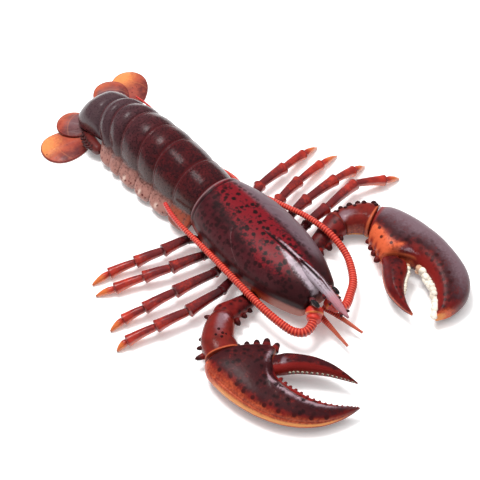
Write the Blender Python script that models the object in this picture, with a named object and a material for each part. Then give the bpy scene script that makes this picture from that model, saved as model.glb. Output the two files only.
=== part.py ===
"""Toy lobster figure, moulded in vinyl and painted, about 27 cm long from claw tip to tail fan.

The lobster stands on a flat floor at z = 0 with its head towards -Y and its left side towards +X.
Sizes are in millimetres and are turned into metres when a mesh is made. Positions are given in the
lobster's body frame, whose x = 0 plane runs between the legs; the last lines move the whole figure
so that the middle of its footprint is the origin.
"""

import math

import bmesh
import bpy
import numpy as np
from mathutils import Vector

MM = 0.001
GAP = 0.3

# Driving dimensions of the body, which bows a little towards -X at the head and at the tail.
BOW_MIDDLE = 45.0
BOW_HEAD = 0.0003
BOW_TAIL = 0.0007

CARAPACE_REAR = 20.0
CARAPACE_BELLY = 8.0
# Stations of the carapace: y, half width, height of the widest line, top.
CARAPACE = (
    (CARAPACE_REAR, 16.2, 13.0, 27.6),
    (18.6, 17.2, 13.5, 29.2),
    (12.0, 19.2, 14.5, 29.2),
    (2.0, 21.2, 15.5, 28.9),
    (-8.0, 22.2, 16.0, 28.9),
    (-19.0, 22.2, 16.0, 28.8),
    (-30.0, 21.4, 16.0, 28.5),
    (-40.0, 19.7, 16.0, 28.4),
    (-49.0, 17.4, 16.0, 28.7),
    (-56.0, 14.8, 16.0, 28.8),
    (-61.0, 12.6, 16.0, 28.3),
    (-64.0, 11.0, 16.0, 27.0),
)
# Stations of the rostrum: y, half width, height of its middle, half thickness.
ROSTRUM = (
    (-57.0, 3.0, 26.4, 2.6),
    (-64.0, 3.3, 26.4, 2.5),
    (-70.0, 3.0, 25.0, 2.1),
    (-76.0, 3.4, 23.8, 1.9),
    (-81.0, 2.8, 22.7, 1.5),
    (-84.4, 1.6, 22.0, 1.1),
    (-87.0, 0.5, 21.6, 0.5),
)

# Rims of the abdomen bands, front to back: y at the top, top, half width, lean of the rim in degrees.
ABDOMEN_RIMS = (
    (CARAPACE_REAR + GAP, 27.2, 15.8, 0.0),
    (36.2, 29.2, 16.6, 3.0),
    (54.5, 31.5, 17.3, 10.0),
    (68.2, 32.4, 17.3, 12.0),
    (83.4, 31.2, 16.8, 15.0),
    (95.6, 29.8, 15.8, 24.0),
    (105.2, 26.6, 14.8, 28.0),
)
PLEURON_LOW = 2.0
PLEURON_HIGH = 8.5
PLEURON_FLARE = 6.0
ABDOMEN_WIDEST = 12.0
BAND_STEP = 1.3
# Height of the telson's widest line, as a share of its height.
TELSON_WIDEST = 0.25
# Stations of the telson: y at the top, top, half width, lean in degrees, underside.
TELSON = (
    (105.8, 25.4, 13.6, 28.0, 8.8),
    (108.6, 26.2, 14.4, 25.0, 9.2),
    (111.6, 26.0, 14.8, 19.0, 9.2),
    (114.8, 24.8, 14.8, 12.0, 8.8),
    (117.8, 22.4, 14.2, 6.0, 7.8),
    (120.4, 19.4, 12.6, 2.0, 6.8),
    (122.4, 16.0, 10.4, 0.0, 6.4),
    (123.8, 12.4, 8.0, 0.0, 6.2),
    (124.8, 9.2, 5.2, 0.0, 6.4),
)

# Tail fan lobes: root x, y, tip x, y, width, underside, thickness.
FAN = {
    "uropod_outer_right": ((-13.0, 113.0), (-43.0, 118.8), 23.0, 0.0, 2.5),
    "uropod_inner_right": ((-9.0, 113.0), (-22.4, 132.8), 19.0, 2.8, 2.5),
    "uropod_inner_left": ((4.0, 115.6), (20.0, 140.4), 20.0, 2.8, 2.5),
    "uropod_outer_left": ((13.5, 114.4), (35.8, 142.0), 21.4, 0.0, 2.5),
}
# Stubs beside the telson that carry the fan: y, distance from the midline, height, radius.
PROTOPOD = (
    (95.2, 18.2, 6.4, 1.6),
    (97.2, 18.2, 6.4, 3.0),
    (102.0, 17.4, 6.4, 3.3),
    (106.6, 15.8, 6.3, 3.0),
    (110.4, 14.6, 6.2, 2.2),
    (111.8, 14.2, 6.2, 1.2),
)
PROTOPOD_SPINES = ((99.5, 2.4), (104.0, 2.8), (108.4, 2.6))

# Walking legs: joints from the body out, as x, y, z. The last one is the tip on the floor.
LEGS = {
    "leg_1_right": ((-22.0, -21, 5.2), (-34, -25.5, 8.0), (-55.5, -25, 8.4), (-73, -21, 6.6),
                    (-88, -17, 3.6), (-94, -17, 0.7)),
    "leg_2_right": ((-20.8, -12, 5.2), (-29, -14, 8.0), (-53, -11, 8.6), (-70, -8, 6.4),
                    (-81, -5, 3.4), (-89, -5, 0.7)),
    "leg_3_right": ((-19.6, -2, 5.2), (-26, -0.8, 7.6), (-44.2, 3, 8.2), (-57.6, 8.4, 6.2),
                    (-72, 14, 3.2), (-81, 18, 0.7)),
    "leg_4_right": ((-18.9, 9.0, 5.2), (-24, 13, 7.4), (-40, 15, 7.8), (-54.6, 19.4, 6.0),
                    (-68, 24, 3.2), (-78, 25, 0.7)),
    "leg_1_left": ((19.4, -21.4, 5.2), (30, -19.5, 8.0), (44.8, -18.4, 8.6), (69, -15, 8.4),
                   (86, -21, 4.2), (95, -23, 0.7)),
    "leg_2_left": ((18.9, -11.4, 5.2), (27, -9.5, 8.0), (41.6, -7, 8.6), (63.4, -5.6, 8.0),
                   (77.6, -4.6, 4.2), (87, -4, 0.7)),
    "leg_3_left": ((18.3, -2.4, 5.2), (24, -0.5, 7.6), (31, 3, 8.0), (47.6, 6.6, 7.6),
                   (67.6, 10.6, 4.0), (81, 12, 0.7)),
    "leg_4_left": ((17.9, 9.4, 5.2), (22, 13.5, 7.4), (29, 17.6, 7.8), (48.6, 19.6, 7.4),
                   (65.6, 22.6, 4.0), (77, 24, 0.7)),
}
LEG_RADII = (2.3, 2.85, 2.8, 2.5, 1.9)
LEG_TIP_RADIUS = 0.5
LEG_SIDES = 8

# Claw arms: stations from the body out, as x, y, z, half width, half height.
ARM_RIGHT = (
    (-21.2, -36.8, 5.2, 3.2, 2.3),
    (-24.4, -37.4, 5.8, 3.8, 3.1),
    (-29.0, -38.2, 6.8, 4.4, 3.8),
    (-36.0, -38.4, 7.6, 5.2, 4.6),
    (-42.5, -38.6, 8.4, 6.0, 5.6),
    (-44.2, -39.6, 8.5, 5.4, 5.2),
    (-46.6, -41.0, 8.6, 6.6, 6.2),
    (-51.0, -44.4, 8.8, 7.8, 7.0),
    (-56.6, -49.8, 8.8, 8.4, 7.4),
    (-58.4, -54.4, 8.4, 8.8, 7.0),
)
ARM_LEFT = (
    (17.8, -33.2, 5.2, 3.0, 2.3),
    (21.4, -33.0, 6.2, 3.7, 3.2),
    (25.6, -32.6, 6.6, 4.6, 4.2),
    (34.0, -31.4, 7.8, 5.8, 5.2),
    (40.6, -30.6, 8.8, 6.8, 6.4),
    (42.4, -30.8, 8.8, 5.8, 5.6),
    (45.0, -31.6, 9.0, 7.0, 6.8),
    (49.6, -34.0, 9.2, 7.4, 7.6),
    (55.0, -38.0, 9.4, 8.4, 8.2),
    (57.0, -42.2, 9.4, 8.8, 8.0),
)
ARM_SIDES = 12

# Claw slabs: outer edge x, y, inner edge x, y, height of the middle, half thickness.
CUTTER = (
    ((-70.9, -57.0), (-53.4, -59.0), 8.4, 6.4),
    ((-73.4, -62.0), (-47.2, -62.0), 8.6, 7.8),
    ((-73.9, -69.8), (-40.6, -67.4), 8.6, 8.6),
    ((-73.6, -76.8), (-37.8, -72.4), 8.6, 8.6),
    ((-72.9, -81.2), (-43.6, -77.4), 8.5, 8.3),
    ((-71.6, -86.6), (-48.4, -84.2), 8.3, 7.8),
    ((-69.8, -92.4), (-48.2, -91.0), 8.0, 7.2),
    ((-66.6, -99.4), (-46.3, -97.4), 7.6, 6.6),
    ((-62.2, -106.2), (-43.9, -104.4), 7.2, 6.0),
    ((-56.2, -112.4), (-40.7, -110.0), 6.8, 5.2),
    ((-49.4, -117.2), (-36.8, -114.6), 6.5, 4.3),
    ((-41.0, -120.4), (-32.8, -118.4), 6.4, 3.2),
    ((-34.0, -121.8), (-30.4, -121.0), 6.6, 1.9),
    ((-29.6, -122.4), (-29.1, -122.1), 7.0, 0.6),
)
CUTTER_FINGER = (
    ((-39.8, -77.0), (-46.4, -82.6), 9.4, 3.9),
    ((-36.2, -77.9), (-44.9, -85.2), 9.8, 4.5),
    ((-31.9, -82.8), (-40.0, -88.4), 10.0, 4.5),
    ((-27.2, -89.2), (-35.0, -93.2), 10.0, 4.2),
    ((-23.9, -97.0), (-29.6, -99.2), 9.9, 3.5),
    ((-22.4, -104.4), (-25.8, -105.0), 9.7, 2.5),
    ((-21.8, -109.6), (-23.0, -110.0), 9.6, 1.4),
    ((-21.5, -112.4), (-21.8, -112.5), 9.5, 0.5),
)
CRUSHER = (
    ((65.3, -40.2), (48.4, -47.2), 9.8, 8.2),
    ((68.8, -45.4), (44.2, -50.8), 10.2, 9.8),
    ((71.2, -53.2), (42.6, -56.4), 10.4, 10.4),
    ((72.8, -61.2), (40.6, -61.4), 10.4, 10.4),
    ((73.2, -67.4), (41.4, -65.6), 10.4, 10.2),
    ((73.4, -72.0), (46.6, -69.6), 10.2, 9.8),
    ((73.0, -77.8), (50.8, -75.6), 10.0, 9.4),
    ((72.2, -84.6), (51.4, -82.6), 9.6, 8.8),
    ((70.8, -91.6), (50.6, -89.4), 9.2, 8.2),
    ((68.4, -98.6), (47.8, -95.4), 8.8, 7.4),
    ((64.0, -104.8), (44.0, -100.6), 8.2, 6.6),
    ((57.0, -109.6), (40.8, -103.8), 7.6, 5.6),
    ((47.6, -110.8), (37.8, -106.2), 7.0, 4.2),
    ((39.8, -108.8), (36.4, -107.2), 6.6, 2.2),
)
CRUSHER_FINGER = (
    ((38.2, -67.0), (47.2, -71.6), 10.2, 4.6),
    ((35.6, -69.8), (47.8, -75.2), 10.4, 5.6),
    ((31.8, -74.6), (44.6, -79.2), 10.2, 5.6),
    ((28.4, -80.8), (39.4, -82.4), 10.0, 5.0),
    ((27.0, -87.2), (34.4, -87.0), 9.8, 4.0),
    ((26.8, -94.0), (30.4, -93.4), 9.6, 2.6),
    ((27.6, -99.6), (28.4, -99.5), 9.4, 0.9),
)
CLAW_SIDES = 14

# Spines, tubercles and teeth, as base x, y, z, tip x, y, z, radius of the base.
RIGHT_ARM_SPINES = (
    ((-31.0, -40.0, 6.0), (-29.6, -44.6, 6.0), 1.7),
    ((-35.0, -41.0, 6.4), (-34.2, -45.8, 6.2), 1.8),
    ((-39.4, -42.0, 7.0), (-40.2, -47.4, 6.6), 2.0),
    ((-48.4, -37.0, 9.0), (-51.8, -33.4, 9.6), 1.6),
    ((-57.0, -44.4, 8.0), (-62.4, -42.0, 8.0), 1.6),
    ((-61.0, -47.6, 7.6), (-66.4, -45.4, 7.6), 1.6),
    ((-64.4, -51.2, 7.0), (-70.6, -49.4, 7.0), 1.8),
)
LEFT_ARM_SPINES = (
    ((23.6, -35.0, 6.2), (21.4, -39.4, 6.4), 1.8),
    ((29.4, -35.4, 6.6), (28.2, -39.6, 6.4), 2.0),
    ((38.6, -35.0, 7.4), (36.4, -39.8, 7.0), 1.6),
    ((47.6, -29.0, 12.6), (47.3, -27.4, 13.9), 1.5),
    ((52.2, -31.6, 13.6), (52.2, -29.6, 15.2), 1.6),
    ((56.2, -34.6, 14.2), (56.6, -32.2, 15.6), 1.7),
    ((59.6, -37.6, 13.4), (60.7, -35.4, 14.6), 1.6),
)
CUTTER_SPINES = (
    ((-49.0, -63.8, 9.6), (-46.4, -60.2, 10.4), 1.5),
    ((-45.8, -66.6, 9.6), (-43.2, -63.0, 10.4), 1.6),
    ((-42.0, -69.2, 9.6), (-38.6, -65.8, 10.4), 1.8),
    ((-40.2, -72.4, 9.4), (-35.8, -71.0, 10.0), 1.7),
)
CRUSHER_SPINES = (
    ((48.0, -51.2, 8.0), (45.2, -49.8, 8.0), 1.6),
    ((46.2, -55.0, 8.0), (43.0, -53.6, 8.0), 1.7),
    ((44.8, -58.4, 8.0), (41.2, -57.4, 8.0), 1.9),
    ((43.4, -61.6, 8.0), (38.6, -62.2, 8.0), 1.8),
)
ROSTRUM_SPINES = ((-69.2, 3.7), (-75.2, 3.1), (-80.3, 2.2))

# Toothed edges: first and last station of the slab, number of teeth, radius at the root and the tip,
# and how far a tooth stands out, in its own radii.
CUTTER_TEETH = (6.2, 12, 10, 1.0, 0.7, 0.9)
CUTTER_FINGER_TEETH = (1.6, 6, 8, 0.8, 0.6, 0.9)
CRUSHER_MOLARS = (6.9, 12.0, 8, 2.3, 1.6, 1.5)
CRUSHER_FINGER_MOLARS = (2, 5, 5, 1.6, 1.0, 0.8)

# Antennae: route as x, y, z from the base segment to the thin end, and the radius along it.
ANTENNA_RIGHT = (
    (-8.8, -67.6, 14.0), (-12.6, -71.2, 12.0), (-16.8, -73.6, 11.4), (-20.8, -74.0, 11.2),
    (-24.0, -72.0, 11.4), (-26.2, -67.6, 11.8), (-27.8, -56.4, 12.8), (-27.9, -42.4, 13.6),
    (-27.3, -27.2, 14.2), (-26.4, -11.0, 14.4), (-25.6, 3.0, 14.2), (-24.9, 18.0, 14.0),
    (-23.6, 27.6, 14.0), (-21.4, 35.6, 14.0),
)
ANTENNA_LEFT = (
    (0.8, -67.6, 14.0), (1.0, -72.0, 13.2), (3.0, -75.0, 12.4), (6.4, -74.6, 11.8),
    (11.6, -71.4, 11.4), (19.4, -65.6, 11.2), (26.5, -55.2, 11.8), (29.6, -45.0, 13.2),
    (29.6, -33.7, 15.6), (28.4, -19.6, 15.2), (25.6, -7.2, 14.2), (23.7, 2.0, 13.0),
    (21.9, 9.0, 12.0), (20.3, 16.0, 11.2), (20.0, 22.0, 10.2), (22.6, 30.0, 7.4),
    (24.6, 38.0, 4.0), (25.0, 46.0, 1.6), (25.0, 60.0, 1.3), (24.4, 76.0, 1.3),
    (23.2, 90.0, 2.2), (23.4, 101.0, 4.6), (23.8, 110.0, 5.0), (23.0, 119.0, 5.0),
)
ANTENNA_BASE_RADIUS = 2.8
ANTENNA_END_RADIUS = {"right": 1.3, "left": 0.6}
ANTENNA_POINTS = {"right": 40, "left": 48}
PEDUNCLE = ((0.0, 4.4), (3.2, 4.6), (4.6, 3.9), (7.0, 3.6))
ANTENNULES = {
    "antennule_right": ((-5.5, -65.6, 6.6), (-6.4, -77.0, 6.2), (-7.9, -91.0, 5.8)),
    "antennule_left": ((-0.4, -65.6, 6.6), (1.0, -74.0, 6.4), (3.4, -89.8, 5.8)),
}
ANTENNULE_RADIUS = 1.9

EYES = {"eye_right": -1.0, "eye_left": 1.0}
EYE_CENTRE = (6.6, -69.4, 20.6)
EYE_SIZE = (1.7, 4.4, 1.9)

STERNUM = ((17.0, 15.2), (-20.0, 19.6), (-38.0, 17.6), (-56.0, 11.2))
STERNUM_LOW = 1.0


def spine_x(y):
    """Sideways place of the body's midline at y, on a parabola each way from BOW_MIDDLE."""
    bow = BOW_HEAD if y < BOW_MIDDLE else BOW_TAIL
    return -bow * (y - BOW_MIDDLE) ** 2


def paint(name, colour, roughness):
    """Glossy painted vinyl of one sRGB colour."""
    material = bpy.data.materials.new(name)
    material.use_nodes = True
    shader = material.node_tree.nodes["Principled BSDF"]
    linear = []
    for start in (0, 2, 4):
        level = int(colour[start : start + 2], 16) / 255
        linear.append(level / 12.92 if level <= 0.04045 else ((level + 0.055) / 1.055) ** 2.4)
    shader.inputs["Base Color"].default_value = (*linear, 1.0)
    shader.inputs["Roughness"].default_value = roughness
    shader.inputs["Metallic"].default_value = 0.0
    return material


def make_object(name, mesh_builder, material):
    """A bmesh in millimetres becomes a smooth-shaded object in metres, under the figure's origin."""
    bmesh.ops.scale(mesh_builder, vec=(MM, MM, MM), verts=mesh_builder.verts)
    mesh = bpy.data.meshes.new(name)
    mesh_builder.to_mesh(mesh)
    mesh_builder.free()
    mesh.materials.append(material)
    mesh.shade_smooth()
    mesh.set_sharp_from_angle(angle=math.radians(40))
    made = bpy.data.objects.new(name, mesh)
    made.parent = figure
    bpy.context.scene.collection.objects.link(made)
    return made


def skin(rings):
    """A closed bmesh over a row of rings with equal numbers of points, its two ends fanned shut."""
    builder = bmesh.new()
    loops = []
    for ring in rings:
        loops.append([builder.verts.new(point) for point in ring])
    for before, after in zip(loops, loops[1:]):
        for index in range(len(before)):
            beside = (index + 1) % len(before)
            builder.faces.new((before[index], before[beside], after[beside], after[index]))
    ends = [builder.faces.new(list(reversed(loops[0]))), builder.faces.new(loops[-1])]
    bmesh.ops.poke(builder, faces=ends)
    bmesh.ops.recalc_face_normals(builder, faces=builder.faces)
    return builder


def oval(centre, across, up, sides, power=2.0):
    """A ring on a superellipse: centre + across * c + up * s, where |c|^power + |s|^power = 1."""
    turn = np.arange(sides) * 2 * math.pi / sides
    cosine, sine = np.cos(turn), np.sin(turn)
    along = np.sign(cosine) * np.abs(cosine) ** (2 / power)
    rise = np.sign(sine) * np.abs(sine) ** (2 / power)
    return np.array(centre) + np.outer(along, across) + np.outer(rise, up)


def sleeve(path, half_widths, half_heights, sides, power=2.0):
    """Rings square to a path, each as wide and high as given; width lies level."""
    path = np.array(path, float)
    tangents = np.gradient(path, axis=0)
    rings = []
    for point, tangent, width, height in zip(path, tangents, half_widths, half_heights):
        across = np.cross(tangent, (0, 0, 1))
        across = across / np.linalg.norm(across)
        up = np.cross(across, tangent)
        up = up / np.linalg.norm(up)
        rings.append(oval(point, across * width, up * height, sides, power))
    return rings


def spine(base, tip, radius):
    """A blunt six-sided thorn from its base to its tip."""
    base, tip = np.array(base, float), np.array(tip, float)
    places = [base, base + (tip - base) * 0.6, tip]
    radii = (radius, radius * 0.8, radius * 0.3)
    return skin(sleeve(places, radii, radii, 6))


def fuse(body, extras):
    """Joins loose solids to the body with one Boolean union on their collection."""
    collection = bpy.data.collections.new("extras")
    bpy.context.scene.collection.children.link(collection)
    for index, builder in enumerate(extras):
        extra = make_object("extra", builder, body.data.materials[0])
        bpy.context.scene.collection.objects.unlink(extra)
        collection.objects.link(extra)
    union = body.modifiers.new("Union", "BOOLEAN")
    union.operation = "UNION"
    union.operand_type = "COLLECTION"
    union.collection = collection
    union.solver = "MANIFOLD"
    bpy.context.view_layer.update()
    evaluated = body.evaluated_get(bpy.context.evaluated_depsgraph_get())
    joined = bpy.data.meshes.new_from_object(evaluated)
    body.modifiers.clear()
    body.data = joined
    for extra in list(collection.objects):
        bpy.data.objects.remove(extra)
    bpy.data.collections.remove(collection)


def shell_ring(y_top, half_width, widest, top, lean, low, belly, corner):
    """One ring of the body: an arch over the back, rounded lower corners and a flat belly.

    The ring leans back from the floor by the given angle, so y = y_top - (top - z) * tan(lean).
    """
    turn = np.linspace(0, math.pi, 17)
    arch_x = half_width * np.cos(turn)
    arch_z = widest + (top - widest) * np.sin(turn)
    side_x = np.array([1.0, 0.97, 0.86]) * (half_width + corner)
    side_z = low + (widest - low) * np.array([0.35, 0.08, 0.0])
    inner_x = side_x[-1] - np.array([1.6, 5.0])
    inner_z = np.array([low + 0.4 * (belly - low), belly])
    half_x = np.concatenate([side_x, inner_x])
    half_z = np.concatenate([side_z, inner_z])
    x = np.concatenate([arch_x, -half_x, half_x[::-1]])
    z = np.concatenate([arch_z, half_z, half_z[::-1]])
    y = y_top - (top - z) * math.tan(math.radians(lean))
    middle = np.array([spine_x(value) for value in y])
    return np.column_stack([x + middle, y, z])


def make_carapace():
    rings = []
    for y, half_width, widest, top in CARAPACE:
        rings.append(shell_ring(y, half_width, widest, top, 0.0, CARAPACE_BELLY, CARAPACE_BELLY, 0.0))
    carapace = make_object("carapace", skin(rings), dark_shell)
    rostrum = []
    for y, half_width, middle, half_height in ROSTRUM:
        centre = (spine_x(y), y, middle)
        rostrum.append(oval(centre, (half_width, 0, 0), (0, 0, half_height), 12, 2.0))
    extras = [skin(rostrum)]
    for y, reach in ROSTRUM_SPINES:
        level = np.interp(-y, [-station[0] for station in ROSTRUM], [station[2] for station in ROSTRUM])
        for side in (-1, 1):
            base = (spine_x(y) + side * (reach - 1.0), y + 1.0, level)
            tip = (spine_x(y) + side * (reach + 1.6), y - 1.6, level + 0.6)
            extras.append(spine(base, tip, 0.9))
    fuse(carapace, extras)


def make_abdomen():
    for number, (front, rear) in enumerate(zip(ABDOMEN_RIMS, ABDOMEN_RIMS[1:]), start=1):
        front, rear = np.array(front), np.array(rear)
        front = front + (GAP if number > 1 else 0.0, 0, 0, 0)
        rings = []
        for share, step in ((0.0, -BAND_STEP), (0.12, -0.5), (0.4, 0.0), (0.7, 0.3), (0.93, 0.3), (1.0, -0.2)):
            y, top, half_width, lean = front + (rear - front) * share
            lobe = math.sin(math.pi * min(1.0, 0.12 + share * 0.95)) ** 0.7
            low = PLEURON_HIGH + (PLEURON_LOW - PLEURON_HIGH) * lobe
            flare = PLEURON_FLARE * lobe + step
            ring = shell_ring(
                y, half_width + step, ABDOMEN_WIDEST, top + step, lean, low, PLEURON_HIGH, flare
            )
            rings.append(ring)
        make_object(f"abdomen_band_{number}", skin(rings), abdomen_shell)


def make_telson():
    rings = []
    for y, top, half_width, lean, low in TELSON:
        widest = low + (top - low) * TELSON_WIDEST
        rings.append(shell_ring(y, half_width, widest, top, lean, low, low, 0.0))
    make_object("telson", skin(rings), abdomen_shell)


def make_fan():
    """Each lobe is an egg-shaped plate with a thin rim and a low dome."""
    for name, (root, tip, width, low, thickness) in FAN.items():
        root, tip = np.array(root), np.array(tip)
        half = np.linalg.norm(tip - root) / 2
        forward = (tip - root) / (2 * half)
        sideways = np.array([-forward[1], forward[0]])
        turn = np.arange(24) * 2 * math.pi / 24
        along = half * np.cos(turn)
        across = width / 2 * np.sin(turn) * (1 + 0.22 * np.cos(turn))
        middle = (root + tip) / 2
        outline = middle + np.outer(along, forward) + np.outer(across, sideways)
        rings = []
        for size, rise in ((0.93, 0.0), (1.0, 0.3), (0.97, 0.5), (0.8, 0.8), (0.45, 1.0)):
            ring = middle + (outline - middle) * size
            level = np.full(len(ring), low + thickness * rise)
            rings.append(np.column_stack([ring, level]))
        make_object(name, skin(rings), fan_shell)


def make_protopods():
    """The stubs that the fan's lobes grow from, with short spines along their outer side."""
    for name, side in (("protopod_right", -1.0), ("protopod_left", 1.0)):
        rings = []
        for y, reach, middle, radius in PROTOPOD:
            centre = (spine_x(y) + side * reach, y, middle)
            rings.append(oval(centre, (radius, 0, 0), (0, 0, radius), 10, 2.0))
        stub = make_object(name, skin(rings), fan_shell)
        spines = []
        for y, radius in PROTOPOD_SPINES:
            reach = np.interp(y, [station[0] for station in PROTOPOD], [station[1] for station in PROTOPOD])
            base = (spine_x(y) + side * (reach + 0.5 * radius), y, 6.0)
            tip = (spine_x(y) + side * (reach + 1.5 * radius), y + 2.2, 6.0)
            spines.append(spine(base, tip, 0.9))
        fuse(stub, spines)


def make_legs():
    """Each segment of a leg widens to a collar that the next, narrower segment comes out of."""
    for name, joints in LEGS.items():
        joints = np.array(joints, float)
        path, radii = [], []
        for index, (start, end) in enumerate(zip(joints, joints[1:])):
            radius = LEG_RADII[index]
            if index < len(joints) - 2:
                for share, size in ((0.04, 0.8), (0.45, 0.9), (0.9, 1.08), (0.99, 1.0)):
                    path.append(start + (end - start) * share)
                    radii.append(radius * size)
            else:
                for share, size in ((0.05, 0.85), (0.4, 0.9), (0.8, 0.6)):
                    path.append(start + (end - start) * share)
                    radii.append(radius * size)
        path.append(joints[-1])
        radii.append(LEG_TIP_RADIUS)
        make_object(name, skin(sleeve(path, radii, radii, LEG_SIDES)), leg_shell)


def make_arms():
    for name, stations, spines in (
        ("claw_arm_right", ARM_RIGHT, RIGHT_ARM_SPINES),
        ("claw_arm_left", ARM_LEFT, LEFT_ARM_SPINES),
    ):
        table = np.array(stations)
        rings = sleeve(table[:, :3], table[:, 3], table[:, 4], ARM_SIDES, 2.4)
        arm = make_object(name, skin(rings), claw_shell)
        fuse(arm, [spine(*values) for values in spines])


def slab(stations):
    """Rings of a claw part, each spanning from its outer edge to its inner edge."""
    rings = []
    for outer, inner, middle, half_thickness in stations:
        outer, inner = np.array([*outer, middle]), np.array([*inner, middle])
        centre = (outer + inner) / 2
        rings.append(oval(centre, (outer - inner) / 2, (0, 0, half_thickness), CLAW_SIDES, 2.3))
    return skin(rings)


def toothed_edge(stations, first, last, count, root_radius, tip_radius, reach):
    """Rounded teeth set along the inner edge of a slab, from one station to another."""
    teeth = []
    numbers = np.arange(len(stations))
    inner = np.array([(*station[1], station[2]) for station in stations])
    outer = np.array([(*station[0], station[2]) for station in stations])
    for place in np.linspace(first, last, count):
        edge = np.array([np.interp(place, numbers, inner[:, axis]) for axis in range(3)])
        across = edge - [np.interp(place, numbers, outer[:, axis]) for axis in range(3)]
        across = across / np.linalg.norm(across)
        radius = root_radius + (tip_radius - root_radius) * (place - first) / (last - first)
        teeth.append(spine(edge - across * radius, edge + across * radius * reach, radius))
    return teeth


def make_claws():
    for name, stations, spines, teeth in (
        ("claw_cutter", CUTTER, CUTTER_SPINES, CUTTER_TEETH),
        ("claw_cutter_finger", CUTTER_FINGER, (), CUTTER_FINGER_TEETH),
        ("claw_crusher", CRUSHER, CRUSHER_SPINES, CRUSHER_MOLARS),
        ("claw_crusher_finger", CRUSHER_FINGER, (), CRUSHER_FINGER_MOLARS),
    ):
        claw = make_object(name, slab(stations), claw_shell)
        extras = [spine(*values) for values in spines]
        fuse(claw, extras + toothed_edge(stations, *teeth))


def smooth_route(points, count):
    """Evenly spaced points on a Catmull-Rom curve through the given points."""
    points = np.array(points, float)
    padded = np.vstack([2 * points[0] - points[1], points, 2 * points[-1] - points[-2]])
    fine = []
    for p0, p1, p2, p3 in zip(padded, padded[1:], padded[2:], padded[3:]):
        for t in np.linspace(0, 1, 12, endpoint=False):
            fine.append(
                0.5 * (2 * p1 + (p2 - p0) * t + (2 * p0 - 5 * p1 + 4 * p2 - p3) * t**2
                       + (3 * p1 - 3 * p2 + p3 - p0) * t**3)
            )
    fine = np.array(fine + [points[-1]])
    steps = np.linalg.norm(np.diff(fine, axis=0), axis=1)
    travelled = np.concatenate([[0], np.cumsum(steps)])
    wanted = np.linspace(0, travelled[-1], count)
    return np.column_stack([np.interp(wanted, travelled, fine[:, axis]) for axis in range(3)])


def make_antennae():
    for side, points in (("right", ANTENNA_RIGHT), ("left", ANTENNA_LEFT)):
        route = smooth_route(points, ANTENNA_POINTS[side])
        steps = np.linalg.norm(np.diff(route, axis=0), axis=1)
        travelled = np.concatenate([[0], np.cumsum(steps)])
        share = travelled / travelled[-1]
        radii = ANTENNA_BASE_RADIUS + (ANTENNA_END_RADIUS[side] - ANTENNA_BASE_RADIUS) * share**0.6
        stem_distance = [place[0] for place in PEDUNCLE]
        stem_radius = [place[1] for place in PEDUNCLE]
        stem = np.interp(travelled, stem_distance, stem_radius, right=0.0)
        radii = np.maximum(radii, stem)
        make_object(f"antenna_{side}", skin(sleeve(route, radii, radii, 8)), antenna_shell)
    for name, points in ANTENNULES.items():
        route = smooth_route(points, 9)
        radii = ANTENNULE_RADIUS * np.linspace(1.0, 0.25, len(route))
        make_object(name, skin(sleeve(route, radii, radii, 8)), antenna_shell)


def make_eyes():
    for name, side in EYES.items():
        reach, y, z = EYE_CENTRE
        centre = Vector((spine_x(y) + side * reach, y, z))
        builder = bmesh.new()
        bmesh.ops.create_uvsphere(builder, u_segments=10, v_segments=6, radius=1.0)
        bmesh.ops.scale(builder, vec=EYE_SIZE, verts=builder.verts)
        bmesh.ops.translate(builder, vec=centre, verts=builder.verts)
        make_object(name, builder, eye_gloss)


def make_sternum():
    """The plate under the carapace that the legs and the claw arms start from."""
    middle = (STERNUM_LOW + CARAPACE_BELLY - GAP) / 2
    half_height = (CARAPACE_BELLY - GAP - STERNUM_LOW) / 2
    rings = []
    for y, half_width in STERNUM:
        rings.append(oval((spine_x(y), y, middle), (half_width, 0, 0), (0, 0, half_height), 12, 5.0))
    make_object("sternum", skin(rings), claw_shell)


def centre_on_footprint():
    """Moves the figure so that the middle of its footprint, on the floor, is the origin."""
    bpy.context.view_layer.update()
    corners = []
    for made in figure.children:
        corners.extend(made.matrix_world @ Vector(corner) for corner in made.bound_box)
    corners = np.array(corners)
    low, high = corners.min(axis=0), corners.max(axis=0)
    figure.location = (-(low[0] + high[0]) / 2, -(low[1] + high[1]) / 2, -low[2])


for old in list(bpy.data.objects):
    bpy.data.objects.remove(old)

figure = bpy.data.objects.new("figure_origin", None)
bpy.context.scene.collection.objects.link(figure)

dark_shell = paint("maroon_vinyl_back", "4a1a20", 0.22)
abdomen_shell = paint("plum_vinyl_abdomen", "3f1c22", 0.2)
fan_shell = paint("amber_vinyl_fan", "b5492c", 0.3)
leg_shell = paint("red_vinyl_legs", "9a2c22", 0.28)
claw_shell = paint("maroon_vinyl_claws", "7d2620", 0.25)
antenna_shell = paint("coral_vinyl_antennae", "c8352a", 0.4)
eye_gloss = paint("black_gloss_eyes", "101012", 0.08)

make_carapace()
make_abdomen()
make_telson()
make_fan()
make_protopods()
make_legs()
make_arms()
make_claws()
make_antennae()
make_eyes()
make_sternum()
centre_on_footprint()
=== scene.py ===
"""A toy lobster, moulded in vinyl and painted by airbrush, lying on a pale table.

Sizes are in millimetres in the lobster's own frame, head towards -Y, left side towards +X.
"""

import math

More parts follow.
